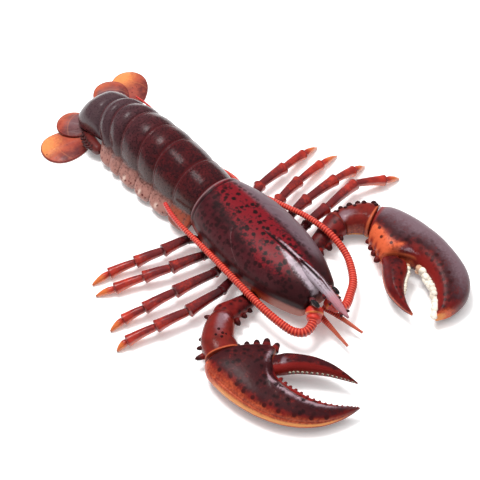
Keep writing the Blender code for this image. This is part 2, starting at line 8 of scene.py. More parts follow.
import bpy
import numpy as np
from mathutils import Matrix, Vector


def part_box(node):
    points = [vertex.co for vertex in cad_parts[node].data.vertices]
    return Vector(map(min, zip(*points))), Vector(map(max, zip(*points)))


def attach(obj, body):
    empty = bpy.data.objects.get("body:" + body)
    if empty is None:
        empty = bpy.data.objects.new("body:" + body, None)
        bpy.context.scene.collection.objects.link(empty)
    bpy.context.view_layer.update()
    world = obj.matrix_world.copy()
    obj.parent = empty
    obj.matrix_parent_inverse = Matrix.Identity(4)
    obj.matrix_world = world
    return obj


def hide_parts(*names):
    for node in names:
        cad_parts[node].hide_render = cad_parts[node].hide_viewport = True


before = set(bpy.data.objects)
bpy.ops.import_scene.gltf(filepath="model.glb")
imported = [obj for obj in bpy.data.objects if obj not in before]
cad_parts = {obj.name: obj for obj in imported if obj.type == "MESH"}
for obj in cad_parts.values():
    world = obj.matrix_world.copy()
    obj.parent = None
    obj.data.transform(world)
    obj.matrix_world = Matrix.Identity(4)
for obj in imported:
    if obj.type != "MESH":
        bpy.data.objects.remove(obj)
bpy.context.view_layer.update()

# Carapace and rostrum: the hard back of the head and thorax. It is one moulded vinyl shell, sprayed
# crimson over dark maroon, with black-brown spots flicked on by brush. The belly plate is glued under it.
MM = 0.001
BOW_MIDDLE = 45.0
BOW_HEAD = 0.0003
BOW_TAIL = 0.0007
EYE_CENTRE = (6.6, -69.4, 20.6)
# Stations of the carapace: y, half width, height of the widest line, top, lower edge.
CARAPACE = (
    (20.0, 16.0, 13.0, 26.9, 8.0),
    (19.0, 17.0, 13.4, 28.1, 7.8),
    (12.0, 19.2, 14.5, 28.5, 7.6),
    (2.0, 21.2, 15.5, 28.7, 7.4),
    (-8.0, 22.2, 16.0, 29.0, 7.2),
    (-19.0, 22.2, 16.0, 29.2, 6.8),
    (-30.0, 21.4, 16.0, 29.1, 6.2),
    (-40.0, 19.7, 16.0, 28.4, 5.8),
    (-49.0, 17.4, 16.0, 27.5, 6.0),
    (-56.0, 14.8, 16.0, 26.7, 6.6),
    (-61.0, 12.6, 16.0, 25.6, 7.2),
    (-64.0, 11.0, 16.0, 24.0, 8.4),
    (-65.0, 9.4, 16.0, 22.0, 9.6),
)
# Stations of the rostrum: y, half width, height of its middle, half thickness.
ROSTRUM = (
    (-46.0, 1.2, 26.6, 2.0),
    (-51.0, 2.2, 26.8, 2.3),
    (-57.0, 2.9, 26.7, 2.6),
    (-64.0, 3.1, 26.4, 2.5),
    (-70.0, 2.6, 25.1, 2.2),
    (-76.0, 2.4, 23.9, 2.0),
    (-81.0, 1.9, 22.7, 1.6),
    (-84.4, 1.2, 22.0, 1.1),
    (-87.0, 0.5, 21.6, 0.5),
)
ROSTRUM_SPINES = ((-71.4, 2.9), (-75.6, 2.8), (-83.4, 1.9))
# Edges of the crimson spray: y, its right edge, its left edge.
CRIMSON = (
    (-62.0, -5.0, 3.0),
    (-50.0, -10.0, 4.0),
    (-35.0, -14.0, 6.0),
    (-20.0, -11.0, 7.5),
    (-5.0, -7.0, 9.0),
    (10.0, -4.0, 11.0),
    (18.0, -2.0, 12.0),
)
# The cervical line down each flank: distance from the midline, y.
CERVICAL = ((11.0, -8.6), (15.0, -11.4), (19.0, -17.2), (20.8, -22.4), (21.6, -28.6))


def midline(y):
    """x of the body's midline at y: a parabola each way from BOW_MIDDLE."""
    return -np.where(y < BOW_MIDDLE, BOW_HEAD, BOW_TAIL) * (y - BOW_MIDDLE) ** 2


# The figure's own origin in the room, from the boxes of its two eyes.
eye_corners = np.array([corner for name in ("eye_right", "eye_left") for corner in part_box(name)])
eye_middle = np.array([midline(EYE_CENTRE[1]), EYE_CENTRE[1], EYE_CENTRE[2]]) * MM
ORIGIN = eye_corners.mean(axis=0) - eye_middle


def through(rows, count):
    """count rows on the Catmull-Rom curve through the given rows: a cubic blend of the four nearest."""
    rows = np.asarray(rows, float)
    padded = np.concatenate([2 * rows[:1] - rows[1:2], rows, 2 * rows[-1:] - rows[-2:-1]])
    place = np.linspace(0, len(rows) - 1, count)
    index = np.minimum(place.astype(int), len(rows) - 2)
    t = (place - index).reshape(-1, *[1] * (rows.ndim - 1))
    p0, p1, p2, p3 = (padded[index + step] for step in range(4))
    cubic = (2 * p0 - 5 * p1 + 4 * p2 - p3) * t**2 + (3 * p1 - 3 * p2 + p3 - p0) * t**3
    return 0.5 * (2 * p1 + (p2 - p0) * t + cubic)


def ramp(value, start, end):
    """0 at start, 1 at end and a smooth step between: 3 s squared less 2 s cubed."""
    share = np.clip((value - start) / (end - start), 0, 1)
    return share * share * (3 - 2 * share)


def hump(value, middle, width):
    """A bell of height 1: e to the minus square of the distance from the middle, in widths."""
    return np.exp(-(((value - middle) / width) ** 2))


def skin(grid, **masks):
    """A closed skin on a grid: rows run along it, columns run round it, and a point closes each end."""
    rows, columns = grid.shape[:2]
    points = np.concatenate([grid.reshape(-1, 3), grid[:1].mean(axis=1), grid[-1:].mean(axis=1)])
    row, column = np.meshgrid(np.arange(rows - 1) * columns, np.arange(columns), indexing="ij")
    beside = (column + 1) % columns
    quads = np.stack([row + column, row + beside, row + columns + beside, row + columns + column], -1)
    turn, following = column[0], beside[0]
    last = (rows - 1) * columns
    start_fan = np.stack([np.full(columns, rows * columns), following, turn], -1)
    end_fan = np.stack([np.full(columns, rows * columns + 1), last + turn, last + following], -1)
    quads = quads.reshape(-1, 4)
    fans = np.concatenate([start_fan, end_fan])
    corners = points[np.concatenate([quads[:, :3], quads[:, [0, 2, 3]], fans])]
    if np.linalg.det(corners - points.mean(axis=0)).sum() < 0:
        quads, fans = quads[:, ::-1], fans[:, ::-1]
    painted = {}
    for name, mask in masks.items():
        mask = np.broadcast_to(mask, (rows, columns))
        painted[name] = np.concatenate([mask.ravel(), mask[:1].mean(axis=1), mask[-1:].mean(axis=1)])
    return points, quads, fans, painted


def piece(name, skins, coat, slot, *nodes):
    """One object from closed skins, in metres. It rides on the root and stands for the named nodes."""
    points, faces, start = [], [], 0
    for skin_points, quads, fans, _ in skins:
        faces += (quads + start).tolist() + (fans + start).tolist()
        points.append(skin_points)
        start += len(skin_points)
    mesh = bpy.data.meshes.new(name)
    mesh.from_pydata((np.concatenate(points) * MM + ORIGIN).tolist(), [], faces)
    mesh.shade_smooth()
    for mask in sorted({mask for item in skins for mask in item[3]}):
        values = [item[3].get(mask, np.zeros(len(item[0]))) for item in skins]
        layer = mesh.attributes.new(mask, "FLOAT", "POINT")
        layer.data.foreach_set("value", np.concatenate(values).astype(np.float32))
    mesh.materials.append(coat)
    made = bpy.data.objects.new(name, mesh)
    bpy.context.scene.collection.objects.link(made)
    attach(made, "root")
    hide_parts(*nodes)
    return made


def linear(code):
    """An sRGB hex colour as linear light: each channel through the sRGB curve."""
    channels = np.array([int(code[start : start + 2], 16) for start in (0, 2, 4)]) / 255
    light = np.where(channels <= 0.04045, channels / 12.92, ((channels + 0.055) / 1.055) ** 2.4)
    return (*light.tolist(), 1.0)


def add(tree, kind, inputs=None, **settings):
    """Adds one node with its settings, and gives each input a value or a link."""
    made = tree.nodes.new(kind)
    for name, value in settings.items():
        setattr(made, name, value)
    for socket, value in (inputs or {}).items():
        if isinstance(value, bpy.types.NodeSocket):
            tree.links.new(value, made.inputs[socket])
        else:
            made.inputs[socket].default_value = value
    return made


def painted_vinyl(
    name, base, shade, sprays, spots=None, roughness=0.2, coat=0.2, pebble=0.4, specular=0.35
):
    """Soft PVC vinyl, moulded, airbrushed in thin coats of acrylic and sealed with clear gloss.

    Each spray is an attribute of the mesh, a colour, how ragged its edge is and how well it covers. Spots
    are an attribute, a colour, their spacing in millimetres and their size as a share of it.
    """
    material = bpy.data.materials.new(name)
    material.use_nodes = True
    tree = material.node_tree
    shader = tree.nodes["Principled BSDF"]
    place = add(tree, "ShaderNodeTexCoord").outputs["Object"]
    # Clouds 5 mm across where the spray lies thin, and 1.2 mm flecks along the edges of each coat.
    cloud = add(tree, "ShaderNodeTexNoise", {"Vector": place, "Scale": 1 / (5.0 * MM), "Detail": 3.0})
    fleck = add(tree, "ShaderNodeTexNoise", {"Vector": place, "Scale": 1 / (1.2 * MM), "Detail": 2.0})
    mottle = add(
        tree,
        "ShaderNodeMapRange",
        {0: cloud.outputs["Fac"], 1: 0.35, 2: 0.7},
        interpolation_type="SMOOTHSTEP",
    )
    colour = add(
        tree, "ShaderNodeMix", {0: mottle.outputs[0], 6: linear(base), 7: linear(shade)}, data_type="RGBA"
    ).outputs[2]
    rag = add(tree, "ShaderNodeMath", {0: cloud.outputs["Fac"], 1: fleck.outputs["Fac"]}, operation="ADD")
    rag = add(tree, "ShaderNodeMath", {0: rag.outputs[0], 1: 1.0}, operation="SUBTRACT")
    for mask, code, ragged, cover in sprays:
        sprayed = add(tree, "ShaderNodeAttribute", attribute_name=mask)
        rough_edge = add(
            tree, "ShaderNodeMath", {0: rag.outputs[0], 1: ragged, 2: 1.0}, operation="MULTIPLY_ADD"
        )
        edge = add(
            tree,
            "ShaderNodeMath",
            {0: rough_edge.outputs[0], 1: sprayed.outputs["Fac"]},
            operation="MULTIPLY",
        )
        laid = add(
            tree,
            "ShaderNodeMapRange",
            {0: edge.outputs[0], 1: 0.08, 2: 0.92, 4: cover},
            interpolation_type="SMOOTHSTEP",
        )
        colour = add(
            tree, "ShaderNodeMix", {0: laid.outputs[0], 6: colour, 7: linear(code)}, data_type="RGBA"
        ).outputs[2]
    if spots:
        mask, code, spacing, size = spots
        cell = add(
            tree, "ShaderNodeTexVoronoi", {"Vector": place, "Scale": 1 / (spacing * MM), "Randomness": 0.85}
        )
        blot = add(
            tree,
            "ShaderNodeMath",
            {0: fleck.outputs["Fac"], 1: 0.5, 2: cell.outputs["Distance"]},
            operation="MULTIPLY_ADD",
        )
        dot = add(
            tree,
            "ShaderNodeMapRange",
            {0: blot.outputs[0], 1: size + 0.25, 2: size},
            interpolation_type="SMOOTHSTEP",
        )
        spotted = add(tree, "ShaderNodeAttribute", attribute_name=mask)
        dab = add(
            tree, "ShaderNodeMath", {0: dot.outputs[0], 1: spotted.outputs["Fac"]}, operation="MULTIPLY"
        )
        colour = add(
            tree, "ShaderNodeMix", {0: dab.outputs[0], 6: colour, 7: linear(code)}, data_type="RGBA"
        ).outputs[2]
    tree.links.new(colour, shader.inputs["Base Color"])
    # The gloss is wiped thin, and pools where the surface is marked wet.
    worn = add(
        tree, "ShaderNodeMapRange", {0: fleck.outputs["Fac"], 3: roughness - 0.05, 4: roughness + 0.08}
    )
    wet = add(tree, "ShaderNodeAttribute", attribute_name="wet")
    worn = add(
        tree,
        "ShaderNodeMath",
        {0: wet.outputs["Fac"], 1: 0.12 - roughness, 2: worn.outputs[0]},
        operation="MULTIPLY_ADD",
    )
    tree.links.new(worn.outputs[0], shader.inputs["Roughness"])
    # The mould leaves pebbles about a millimetre across under the gloss.
    dimple = add(
        tree, "ShaderNodeBump", {"Strength": pebble, "Distance": 0.08 * MM, "Height": fleck.outputs["Fac"]}
    )
    tree.links.new(dimple.outputs[0], shader.inputs["Normal"])
    tree.links.new(dimple.outputs[0], shader.inputs["Coat Normal"])
    shader.inputs["IOR"].default_value = 1.5
    shader.inputs["Specular IOR Level"].default_value = specular
    shader.inputs["Coat Weight"].default_value = coat
    shader.inputs["Coat Roughness"].default_value = 0.09
    return material


def body_rings(y_top, half_width, widest, top, lean, low, belly, flare, over=121, under=16):
    """x from the midline, y and z of rings round the body, one row for each value given.

    Over the back x = w cos t and z = widest + (top - widest) sin t. From the widest line a Catmull-Rom
    curve runs out by the flare, round the lower edge and in to the middle of the belly. A leaning ring
    moves forward by (top - z) times the tangent of its lean.
    """
    level = np.linspace(-1, 1, over)
    turn = math.pi / 2 * (1 + np.sign(level) * np.abs(level) ** 1.3)
    across, rise = half_width[:, None] * np.cos(turn), (top - widest)[:, None] * np.sin(turn)
    reach, drop = half_width + flare, widest - low
    side_x = (half_width, half_width + 0.55 * flare, reach, 0.985 * reach, 0.93 * reach,
              0.93 * reach - 1.6, 0.93 * reach - 5.0, 0.0 * reach)
    side_z = (widest, low + 0.66 * drop, low + 0.35 * drop, low + 0.12 * drop, low,
              low + 0.4 * (belly - low), belly, belly)
    side = through(np.stack([np.stack(side_x), np.stack(side_z)], -1), under)[1:].transpose(1, 0, 2)
    x = np.concatenate([across, -side[:, :, 0], side[:, -2::-1, 0]], axis=1)
    z = np.concatenate([widest[:, None] + rise, side[:, :, 1], side[:, -2::-1, 1]], axis=1)
    y = y_top[:, None] - (top[:, None] - z) * np.tan(np.radians(lean))[:, None]
    return x, y, z


def raised(x, z, height):
    """Moves each point of a ring out along the ring's normal by the height given for it."""
    along_x = np.roll(x, -1, axis=1) - np.roll(x, 1, axis=1)
    along_z = np.roll(z, -1, axis=1) - np.roll(z, 1, axis=1)
    length = np.hypot(along_x, along_z) + 1e-9
    return x + height * along_z / length, z - height * along_x / length


def tube(path, half_width, half_height, sides, power=2.0):
    """Rings square to a path, with level width: centre + w c across + h s up, |c|^p + |s|^p = 1."""
    tangent = np.gradient(path, axis=0)
    across = np.cross(tangent, (0, 0, 1))
    across = across / np.linalg.norm(across, axis=1, keepdims=True)
    up = np.cross(across, tangent)
    up = up / np.linalg.norm(up, axis=1, keepdims=True)
    turn = np.arange(sides) * 2 * math.pi / sides
    cosine = np.sign(np.cos(turn)) * np.abs(np.cos(turn)) ** (2 / power)
    sine = np.sign(np.sin(turn)) * np.abs(np.sin(turn)) ** (2 / power)
    sideways = across[:, None] * (half_width[:, None] * cosine)[..., None]
    return path[:, None] + sideways + up[:, None] * (half_height[:, None] * sine)[..., None]


def thorn(base, tip, radius, sides=12, rows=9, dark=1.0, **masks):
    """A blunt moulded thorn: its radius shrinks as the root of 1 - s squared, less a little waist."""
    base, tip = np.array(base, float), np.array(tip, float)
    share = np.linspace(0, 0.985, rows)
    sizes = 1.25 * radius * np.sqrt(1 - share**2) * (1 - 0.22 * np.sin(math.pi * share))
    path = base + (tip - base) * share[:, None]
    return skin(tube(path, sizes, sizes, sides), dark_tip=dark * ramp(share, 0.3, 0.75)[:, None], **masks)


def make_carapace():
    """Body rings along CARAPACE, with the median ridge and groove, cervical lines and rims raised."""
    y, half_width, widest, top, low = through(CARAPACE, 170).T
    flat = np.zeros_like(y)
    x, y_grid, z = body_rings(y, half_width, widest, top, flat, low, low + 1.0, flat)
    y_row = y[:, None]
    upper = ramp(z, 12, 16)
    groove_x = np.interp(y_row, (-62, -21), (0.5, -1.4))
    groove = hump(x, groove_x, 0.45) * ramp(y_row, -19, -28) * ramp(y_row, -64, -60) * upper
    ridge = hump(x, groove_x, 3.2) * ramp(y_row, -24, -50) * upper
    line = np.array(CERVICAL)
    line_y = np.interp(np.abs(x), line[:, 0], line[:, 1], left=0.0)
    cervical = hump(y_grid, line_y, 0.6) * ramp(np.abs(x), 10.5, 12.5) * upper
    rear_rim = hump(y_row, 18.7, 0.7) * ramp(z, 8, 12)
    rear_groove = hump(y_row, 16.9, 0.6) * ramp(z, 8, 12)
    margin = hump(z, low[:, None] + 2.4, 0.8) * (np.abs(x) > 8)
    height = 1.1 * ridge - 0.7 * groove - 0.14 * cervical
    height = height + 0.3 * rear_rim - 0.25 * rear_groove - 0.3 * margin
    x, z = raised(x, z, height)
    edges = np.array(CRIMSON)
    right_edge = np.interp(y_row, edges[:, 0], edges[:, 1])
    left_edge = np.interp(y_row, edges[:, 0], edges[:, 2])
    crimson = ramp(x, right_edge - 5, right_edge + 4) * ramp(x, left_edge + 3.5, left_edge - 3.5) * upper
    crimson = crimson * (0.45 + 0.55 * ramp(y_row, -62, -48)) * (0.7 + 0.3 * ramp(y_row, 16, 6))
    shell_edge = ramp(z, 15.5, 11.5)
    # Pale mauve strips each side of the groove: partly mauve paint and partly a painted highlight.
    wide = 0.6 + 1.8 * ramp(y_row, -30, -56)
    mauve = hump(x, groove_x - 0.9 - wide, wide) * (x < groove_x) * ramp(y_row, -28, -46)
    right_strip = hump(x, groove_x + 1.5, 0.8) * (x > groove_x) * ramp(y_row, -26, -40)
    mauve = np.clip(mauve + right_strip, 0, 1) * upper
    masks = {
        "crimson": crimson,
        "flank": ramp(z, 28, 20) * ramp(x, 1, -8) * 0.9,
        # Mauve-grey over the left upper flank: a painted reflection of the white room.
        "haze": ramp(x, 5, 13) * ramp(z, 8, 14) * ramp(y_row, -64, -46),
        "nose": ramp(y_row, -40, -58) * ramp(z, 10, 14) * ramp(np.abs(x), 3, 6),
        "skirt": shell_edge,
        "amber": shell_edge * ramp(y_row, -27, -38) * ramp(y_row, -54, -46) * ramp(z, 13.5, 9.5),
        "blush": shell_edge * ramp(y_row, -43, -52),
        "mauve": mauve,
        "wet": 0.8 * mauve,
        # On the rear rim this pale colour is a painted highlight.
        "rim": np.clip(0.55 * rear_rim + 0.35 * cervical + 0.2 * hump(z, low[:, None] + 3.4, 0.7), 0, 1),
        "seam": np.clip(
            1.4 * hump(x, groove_x, 0.6) * ramp(y_row, -19, -28) * upper + 0.8 * rear_groove, 0, 1
        ),
        "spotted": ramp(z, 13, 20) * ramp(x, 14, 7) * ramp(y_row, 17, 13)
        * (0.7 + 0.3 * crimson) * (1 - 0.8 * mauve),
    }
    return skin(np.stack([x + midline(y_grid), y_grid, z], -1), **masks)


def make_rostrum():
    """A long beak: ellipses of power 2.2 along ROSTRUM, with a groove down its middle that dies out."""
    y, half_width, middle, half_height = through(ROSTRUM, 90).T
    path = np.stack([midline(y) + 0.5, y, middle], -1)
    grid = tube(path, half_width, half_height, 64, 2.2)
    offset = (grid[..., 0] - path[:, None, 0]) / half_width[:, None]
    over = ramp(grid[..., 2], middle[:, None], middle[:, None] + 0.5)
    split = hump(offset, 0.0, 0.22) * ramp(y, -66, -62)[:, None]
    grid[..., 2] -= over * 0.5 * split
    side = ramp(grid[..., 2], middle[:, None] - 0.1, middle[:, None] - 1.0)
    strip = np.maximum(ramp(offset, 0.1, -0.1), hump(offset, 0.4, 0.2))
    strip = np.maximum(strip, ramp(y, -66, -73)[:, None]) * (0.8 + 0.2 * np.cos(14 * offset))
    masks = {
        "beak": side * ramp(y, -58, -64)[:, None],
        "nose": side * ramp(y, -64, -58)[:, None],
        # The pale strip along the beak is partly mauve paint and partly a painted highlight.
        "mauve": (1 - side) * strip * ramp(y, -48, -56)[:, None],
        "pink": (1 - side) * ramp(y, -66, -80)[:, None],
        "wet": over * 0.8,
        "seam": over * split,
        "dark_tip": ramp(y, -84.5, -86.5)[:, None] * 0.4,
    }
    return skin(grid, **masks)


back_vinyl = painted_vinyl(
    "painted_vinyl_maroon_back",
    "40141a",
    "220a0e",
    (
        ("flank", "4a2428", 1.6, 0.75),
        ("crimson", "72121c", 3.6, 0.85),
        # The mauve-grey on the left upper flank is a painted reflection.
        ("haze", "66525a", 0.9, 0.85),
        ("nose", "2c0f12", 0.9, 0.8),
        ("skirt", "84241c", 0.8, 0.85),
        ("amber", "b44a26", 0.6, 0.85),
        ("blush", "b88478", 0.5, 0.85),
        ("beak", "6c2024", 0.4, 0.9),
        # Pale mauve on the ridge and beak: partly paint, partly a painted highlight.
        ("mauve", "b0a2ac", 1.4, 0.85),
        ("pink", "a8646c", 1.6, 0.75),
        # Pale rims: on the rear rim a painted highlight.
        ("rim", "a88688", 0.2, 0.7),
        ("seam", "120a0c", 0.1, 0.95),
        ("dark_tip", "2a1214", 0.2, 0.9),
    ),
    spots=("spotted", "1a090b", 3.2, 0.52),
    roughness=0.36,
    coat=0.0,
    specular=0.16,
)
carapace_skins = [make_carapace(), make_rostrum()]
for spine_y, spine_reach in ROSTRUM_SPINES:
    spine_z = float(np.interp(-spine_y, [-row[0] for row in ROSTRUM], [row[2] for row in ROSTRUM]))
    for side in (-1, 1):
        inner = (float(midline(spine_y)) + 0.4 + side * (spine_reach - 1.0), spine_y + 0.8, spine_z - 0.6)
        outer = (float(midline(spine_y)) + 0.4 + side * (spine_reach + 1.0), spine_y - 1.2, spine_z + 0.1)
        carapace_skins.append(thorn(inner, outer, 1.0, beak=0.8))
piece("carapace_shell", carapace_skins, back_vinyl, "maroon_vinyl_back", "carapace")

# Eyes: two long black beads under the sides of the rostrum, moulded with the head and painted with
# black enamel, which is the glossiest paint on the figure.
EYE_SIZE = (1.4, 3.2, 1.6)


def bead(centre, size, sides=32, rows=19, **masks):
    """An ellipsoid: rings at latitude t with radius cos t, from one end in y to the other."""
    turn = np.linspace(-0.49 * math.pi, 0.49 * math.pi, rows)[:, None]
    round_turn = np.arange(sides)[None] * 2 * math.pi / sides
    x = centre[0] + size[0] * np.cos(turn) * np.cos(round_turn)
    y = centre[1] + size[1] * np.sin(turn) + 0 * round_turn
    z = centre[2] + size[2] * np.cos(turn) * np.sin(round_turn)
    return skin(np.stack([x, y, z], -1), **masks)


eye_enamel = painted_vinyl(
    "black_enamel_eyes",
    "0d0c0e",
    "151316",
    (("ring", "5a2226", 0.2, 0.9),),
    roughness=0.12,
    coat=1.0,
    pebble=0.1,
)
for side, node in ((-1, "eye_right"), (1, "eye_left")):
    centre = (float(midline(EYE_CENTRE[1])) + side * EYE_CENTRE[0], EYE_CENTRE[1], EYE_CENTRE[2])
    socket = (centre[0] - side * 0.6, centre[1] + 2.0, centre[2] - 0.3)
    piece(f"{node}_bead", [bead(centre, EYE_SIZE), bead(socket, (1.6, 2.6, 1.6), ring=1.0)], eye_enamel,
          "black_gloss_eyes", node)

# Abdomen: six overlapping rings that end in rounded lobes at the sides, and the telson behind them.
# They are moulded as one tail; each ring's rear rim is painted paler as a highlight and the groove behind it
# is dark red.
ABDOMEN_RIMS = (
    (20.3, 27.2, 15.8, 0.0),
    (36.2, 29.2, 16.6, 3.0),
    (54.5, 31.5, 17.3, 10.0),
    (68.2, 32.4, 17.3, 12.0),
    (83.4, 31.2, 16.8, 15.0),
    (95.6, 29.8, 15.8, 24.0),
    (105.2, 26.6, 14.8, 28.0),
)
LOBE_LOW = 2.0
LOBE_HIGH = 8.5
LOBE_FLARE = 6.0
ABDOMEN_WIDEST = 12.0
# Height of the telson's widest line, as a share of its height.
TELSON_WIDEST = 0.25
# Stations of the telson: y at the top, top, half width, lean in degrees, underside.
TELSON = (
    (105.8, 25.6, 13.8, 28.0, 8.8),
    (108.6, 26.6, 14.6, 25.0, 9.2),
    (111.6, 26.4, 15.0, 19.0, 9.2),
    (114.8, 25.1, 15.0, 12.0, 8.8),
    (117.8, 22.6, 14.3, 6.0, 7.8),
    (120.4, 19.5, 12.7, 2.0, 6.8),
    (122.4, 16.0, 10.5, 0.0, 6.4),
    (123.8, 12.4, 8.0, 0.0, 6.2),
    (124.8, 9.2, 5.2, 0.0, 6.4),
)
# Height of a ring over its plain arch: share of the way from its front rim, millimetres.
RING_STEP = ((0.0, -1.5), (0.06, -1.2), (0.14, -0.5), (0.28, -0.05), (0.5, 0.25), (0.8, 0.3), (0.9, 0.24),
             (0.925, 0.0), (0.95, 0.3), (0.98, 0.28), (1.0, -0.2))
# How far each ring swells between its rims.
RING_SWELL = (0.1, 0.15, 0.3, 0.5, 1.0, 1.3)


def make_band(number, front, rear):
    """Body rings from one rim to the next: the lobe is an arch of power 3.2 over the share of the way."""
    share = np.linspace(0, 1, 46)
    front = np.array(front) + ((0.3, 0, 0, 0) if number > 1 else (0, 0, 0, 0))
    y, top, half_width, lean = (front + (np.array(rear) - front) * share[:, None]).T
    lobe = 0.5 + 0.5 * np.sqrt(np.clip(1 - np.abs(2 * share - 0.96) ** 3.2, 0, 1))
    low = LOBE_HIGH + (LOBE_LOW - LOBE_HIGH) * lobe
    flat = np.full_like(share, LOBE_HIGH)
    x, y_grid, z = body_rings(
        y, half_width, np.full_like(share, ABDOMEN_WIDEST), top, lean, low, flat,
        LOBE_FLARE * lobe, over=97, under=24
    )
    step = np.interp(share, *np.array(RING_STEP).T)[:, None]
    over = ramp(z, 8, 13)
    low_edge = (np.abs(x) > 8) * ramp(z, 10.5, 8.5)
    swell = hump(share, 0.5, 0.3)[:, None] * hump(z, 6.2, 3.0) * 0.3 * (np.abs(x) > 12)
    dome = RING_SWELL[number - 1] * np.sin(math.pi * share)[:, None] ** 1.5 * over
    x, z = raised(x, z, step * (0.25 + 0.75 * over) + swell + dome)
    share = share[:, None]
    seam = np.clip(hump(share, 0.925, 0.02) + ramp(share, 0.13, 0.03), 0, 1)
    masks = {
        # Greyer towards the tail: a painted sheen of the white room on the last rings.
        "tailward": ((number - 1 + share) / 6) ** 2,
        "ruddy": 0.45,
        "flank": ramp(z, 26, 14),
        # A painted reflection of the white room on the tail's left side.
        "haze": ramp(x, 7, 14) * over,
        "lobe": ramp(z, 16, 6) * (np.abs(x) > 8),
        "amber": ramp(z, 15, 8) * (np.abs(x) > 8) * (number == 1),
        # A pale painted highlight along each ring's rear rim, and a pale line along the lower edge of the
        # lobes.
        "rim": 0.35 * hump(share, 0.965, 0.018) * ramp(z, 7, 12)
        + 0.4 * hump(z, low[:, None] + 0.8, 0.9) * (np.abs(x) > 10),
        "seam": seam * ramp(z, 7, 13),
        # A pale painted highlight in the middle of the side lobes of rings 2 to 4.
        "dapple": hump(share, 0.52, 0.1) * hump(z, 7.0, 1.2) * (np.abs(x) > 15) * (1 < number < 5),
        "spotted": np.clip(low_edge * ramp(z, 12, 8) * 0.7 + 0.35 * ramp(z, 22, 12), 0, 1),
        "wet": np.clip(0.65 * ramp(z, 24.5, 27) * (number < 3) + hump(share, 0.965, 0.02) * over, 0, 1),
    }
    return skin(np.stack([x + midline(y_grid), y_grid, z], -1), **masks)


tail_vinyl = painted_vinyl(
    "painted_vinyl_plum_tail",
    "2a0d11",
    "12070a",
    (
        ("ruddy", "521418", 3.0, 0.75),
        ("flank", "3e201c", 1.1, 0.85),
        # The grey towards the tail is a painted sheen.
        ("tailward", "463439", 0.9, 0.75),
        # Painted reflection on the tail's left side.
        ("haze", "422f36", 0.5, 0.7),
        ("lobe", "a6766c", 1.6, 0.8),
        ("amber", "8c3e26", 2.4, 0.85),
        ("seam", "4a1014", 0.3, 0.9),
        # Pale rims: a painted highlight on each ring's rear rim.
        ("rim", "9c7476", 0.3, 0.7),
        # Painted highlight on the side lobes.
        ("dapple", "d6bfb2", 0.5, 0.65),
    ),
    spots=("spotted", "542220", 2.6, 0.32),
    roughness=0.27,
    coat=0.05,
    specular=0.3,
)
for number, (front, rear) in enumerate(zip(ABDOMEN_RIMS, ABDOMEN_RIMS[1:]), start=1):
    piece(f"abdomen_ring_{number}", [make_band(number, front, rear)], tail_vinyl, "plum_vinyl_abdomen",
          f"abdomen_band_{number}")


def make_telson():
    """Leaning body rings along TELSON, with a low ridge each side of the midline."""
    y, top, half_width, lean, low = through(TELSON, 60).T
    widest = low + (top - low) * TELSON_WIDEST
    x, y_grid, z = body_rings(y, half_width, widest, top, lean, low, low, np.zeros_like(y), over=97)
    ridge = 0.25 * hump(np.abs(x) / half_width[:, None], 0.4, 0.15) * ramp(z, 8, 14)
    first = -0.5 * ramp(y[:, None], 107.4, 105.8) * ramp(z, 8, 12)
    x, z = raised(x, z, ridge + first)
    masks = {
        # The telson's grey is the same painted sheen.
        "tailward": 1.0,
        "flank": ramp(z, 20, 10) * 0.6,
        "lobe": ramp(z, 9, 6.5) * 0.3 + 0.14,
        "seam": ramp(z, 16, 10) * ramp(y_grid, 122, 114) * 0.75,
    }
    return skin(np.stack([x + midline(y_grid), y_grid, z], -1), **masks)


piece("telson_plate", [make_telson()], tail_vinyl, "plum_vinyl_abdomen", "telson")

# Tail fan: four thin egg-shaped paddles on two spiny stubs beside the telson. They are moulded flat with
# fine ribs, sprayed orange to amber, greyed in the middle and outlined in dark red.
# Each paddle: root x, y, tip x, y, width, underside, thickness, how grey, how yellow.
FAN = {
    "uropod_outer_right": ((-13.0, 113.0), (-43.0, 118.8), 23.0, 0.0, 2.5, 0.1, 0.9),
    "uropod_inner_right": ((-9.0, 113.0), (-22.4, 132.8), 19.0, 2.8, 2.5, 0.85, 0.25),
    "uropod_inner_left": ((4.0, 115.6), (20.0, 140.4), 20.0, 2.8, 2.5, 0.85, 0.3),
    "uropod_outer_left": ((13.5, 114.4), (35.8, 142.0), 21.4, 0.0, 2.5, 0.25, 1.0),
}
# Stubs: y, distance from the midline, height, radius.
PROTOPOD = (
    (95.2, 18.2, 6.4, 1.6),
    (97.2, 18.2, 6.4, 3.0),
    (102.0, 17.4, 6.4, 3.3),
    (106.6, 15.8, 6.3, 3.0),
    (110.4, 14.6, 6.2, 2.2),
    (111.8, 14.2, 6.2, 1.2),
)
STUB_SPINES = ((97.6, 2.4), (100.0, 3.0), (102.4, 3.1), (104.8, 3.0), (107.2, 2.8), (109.4, 2.3))


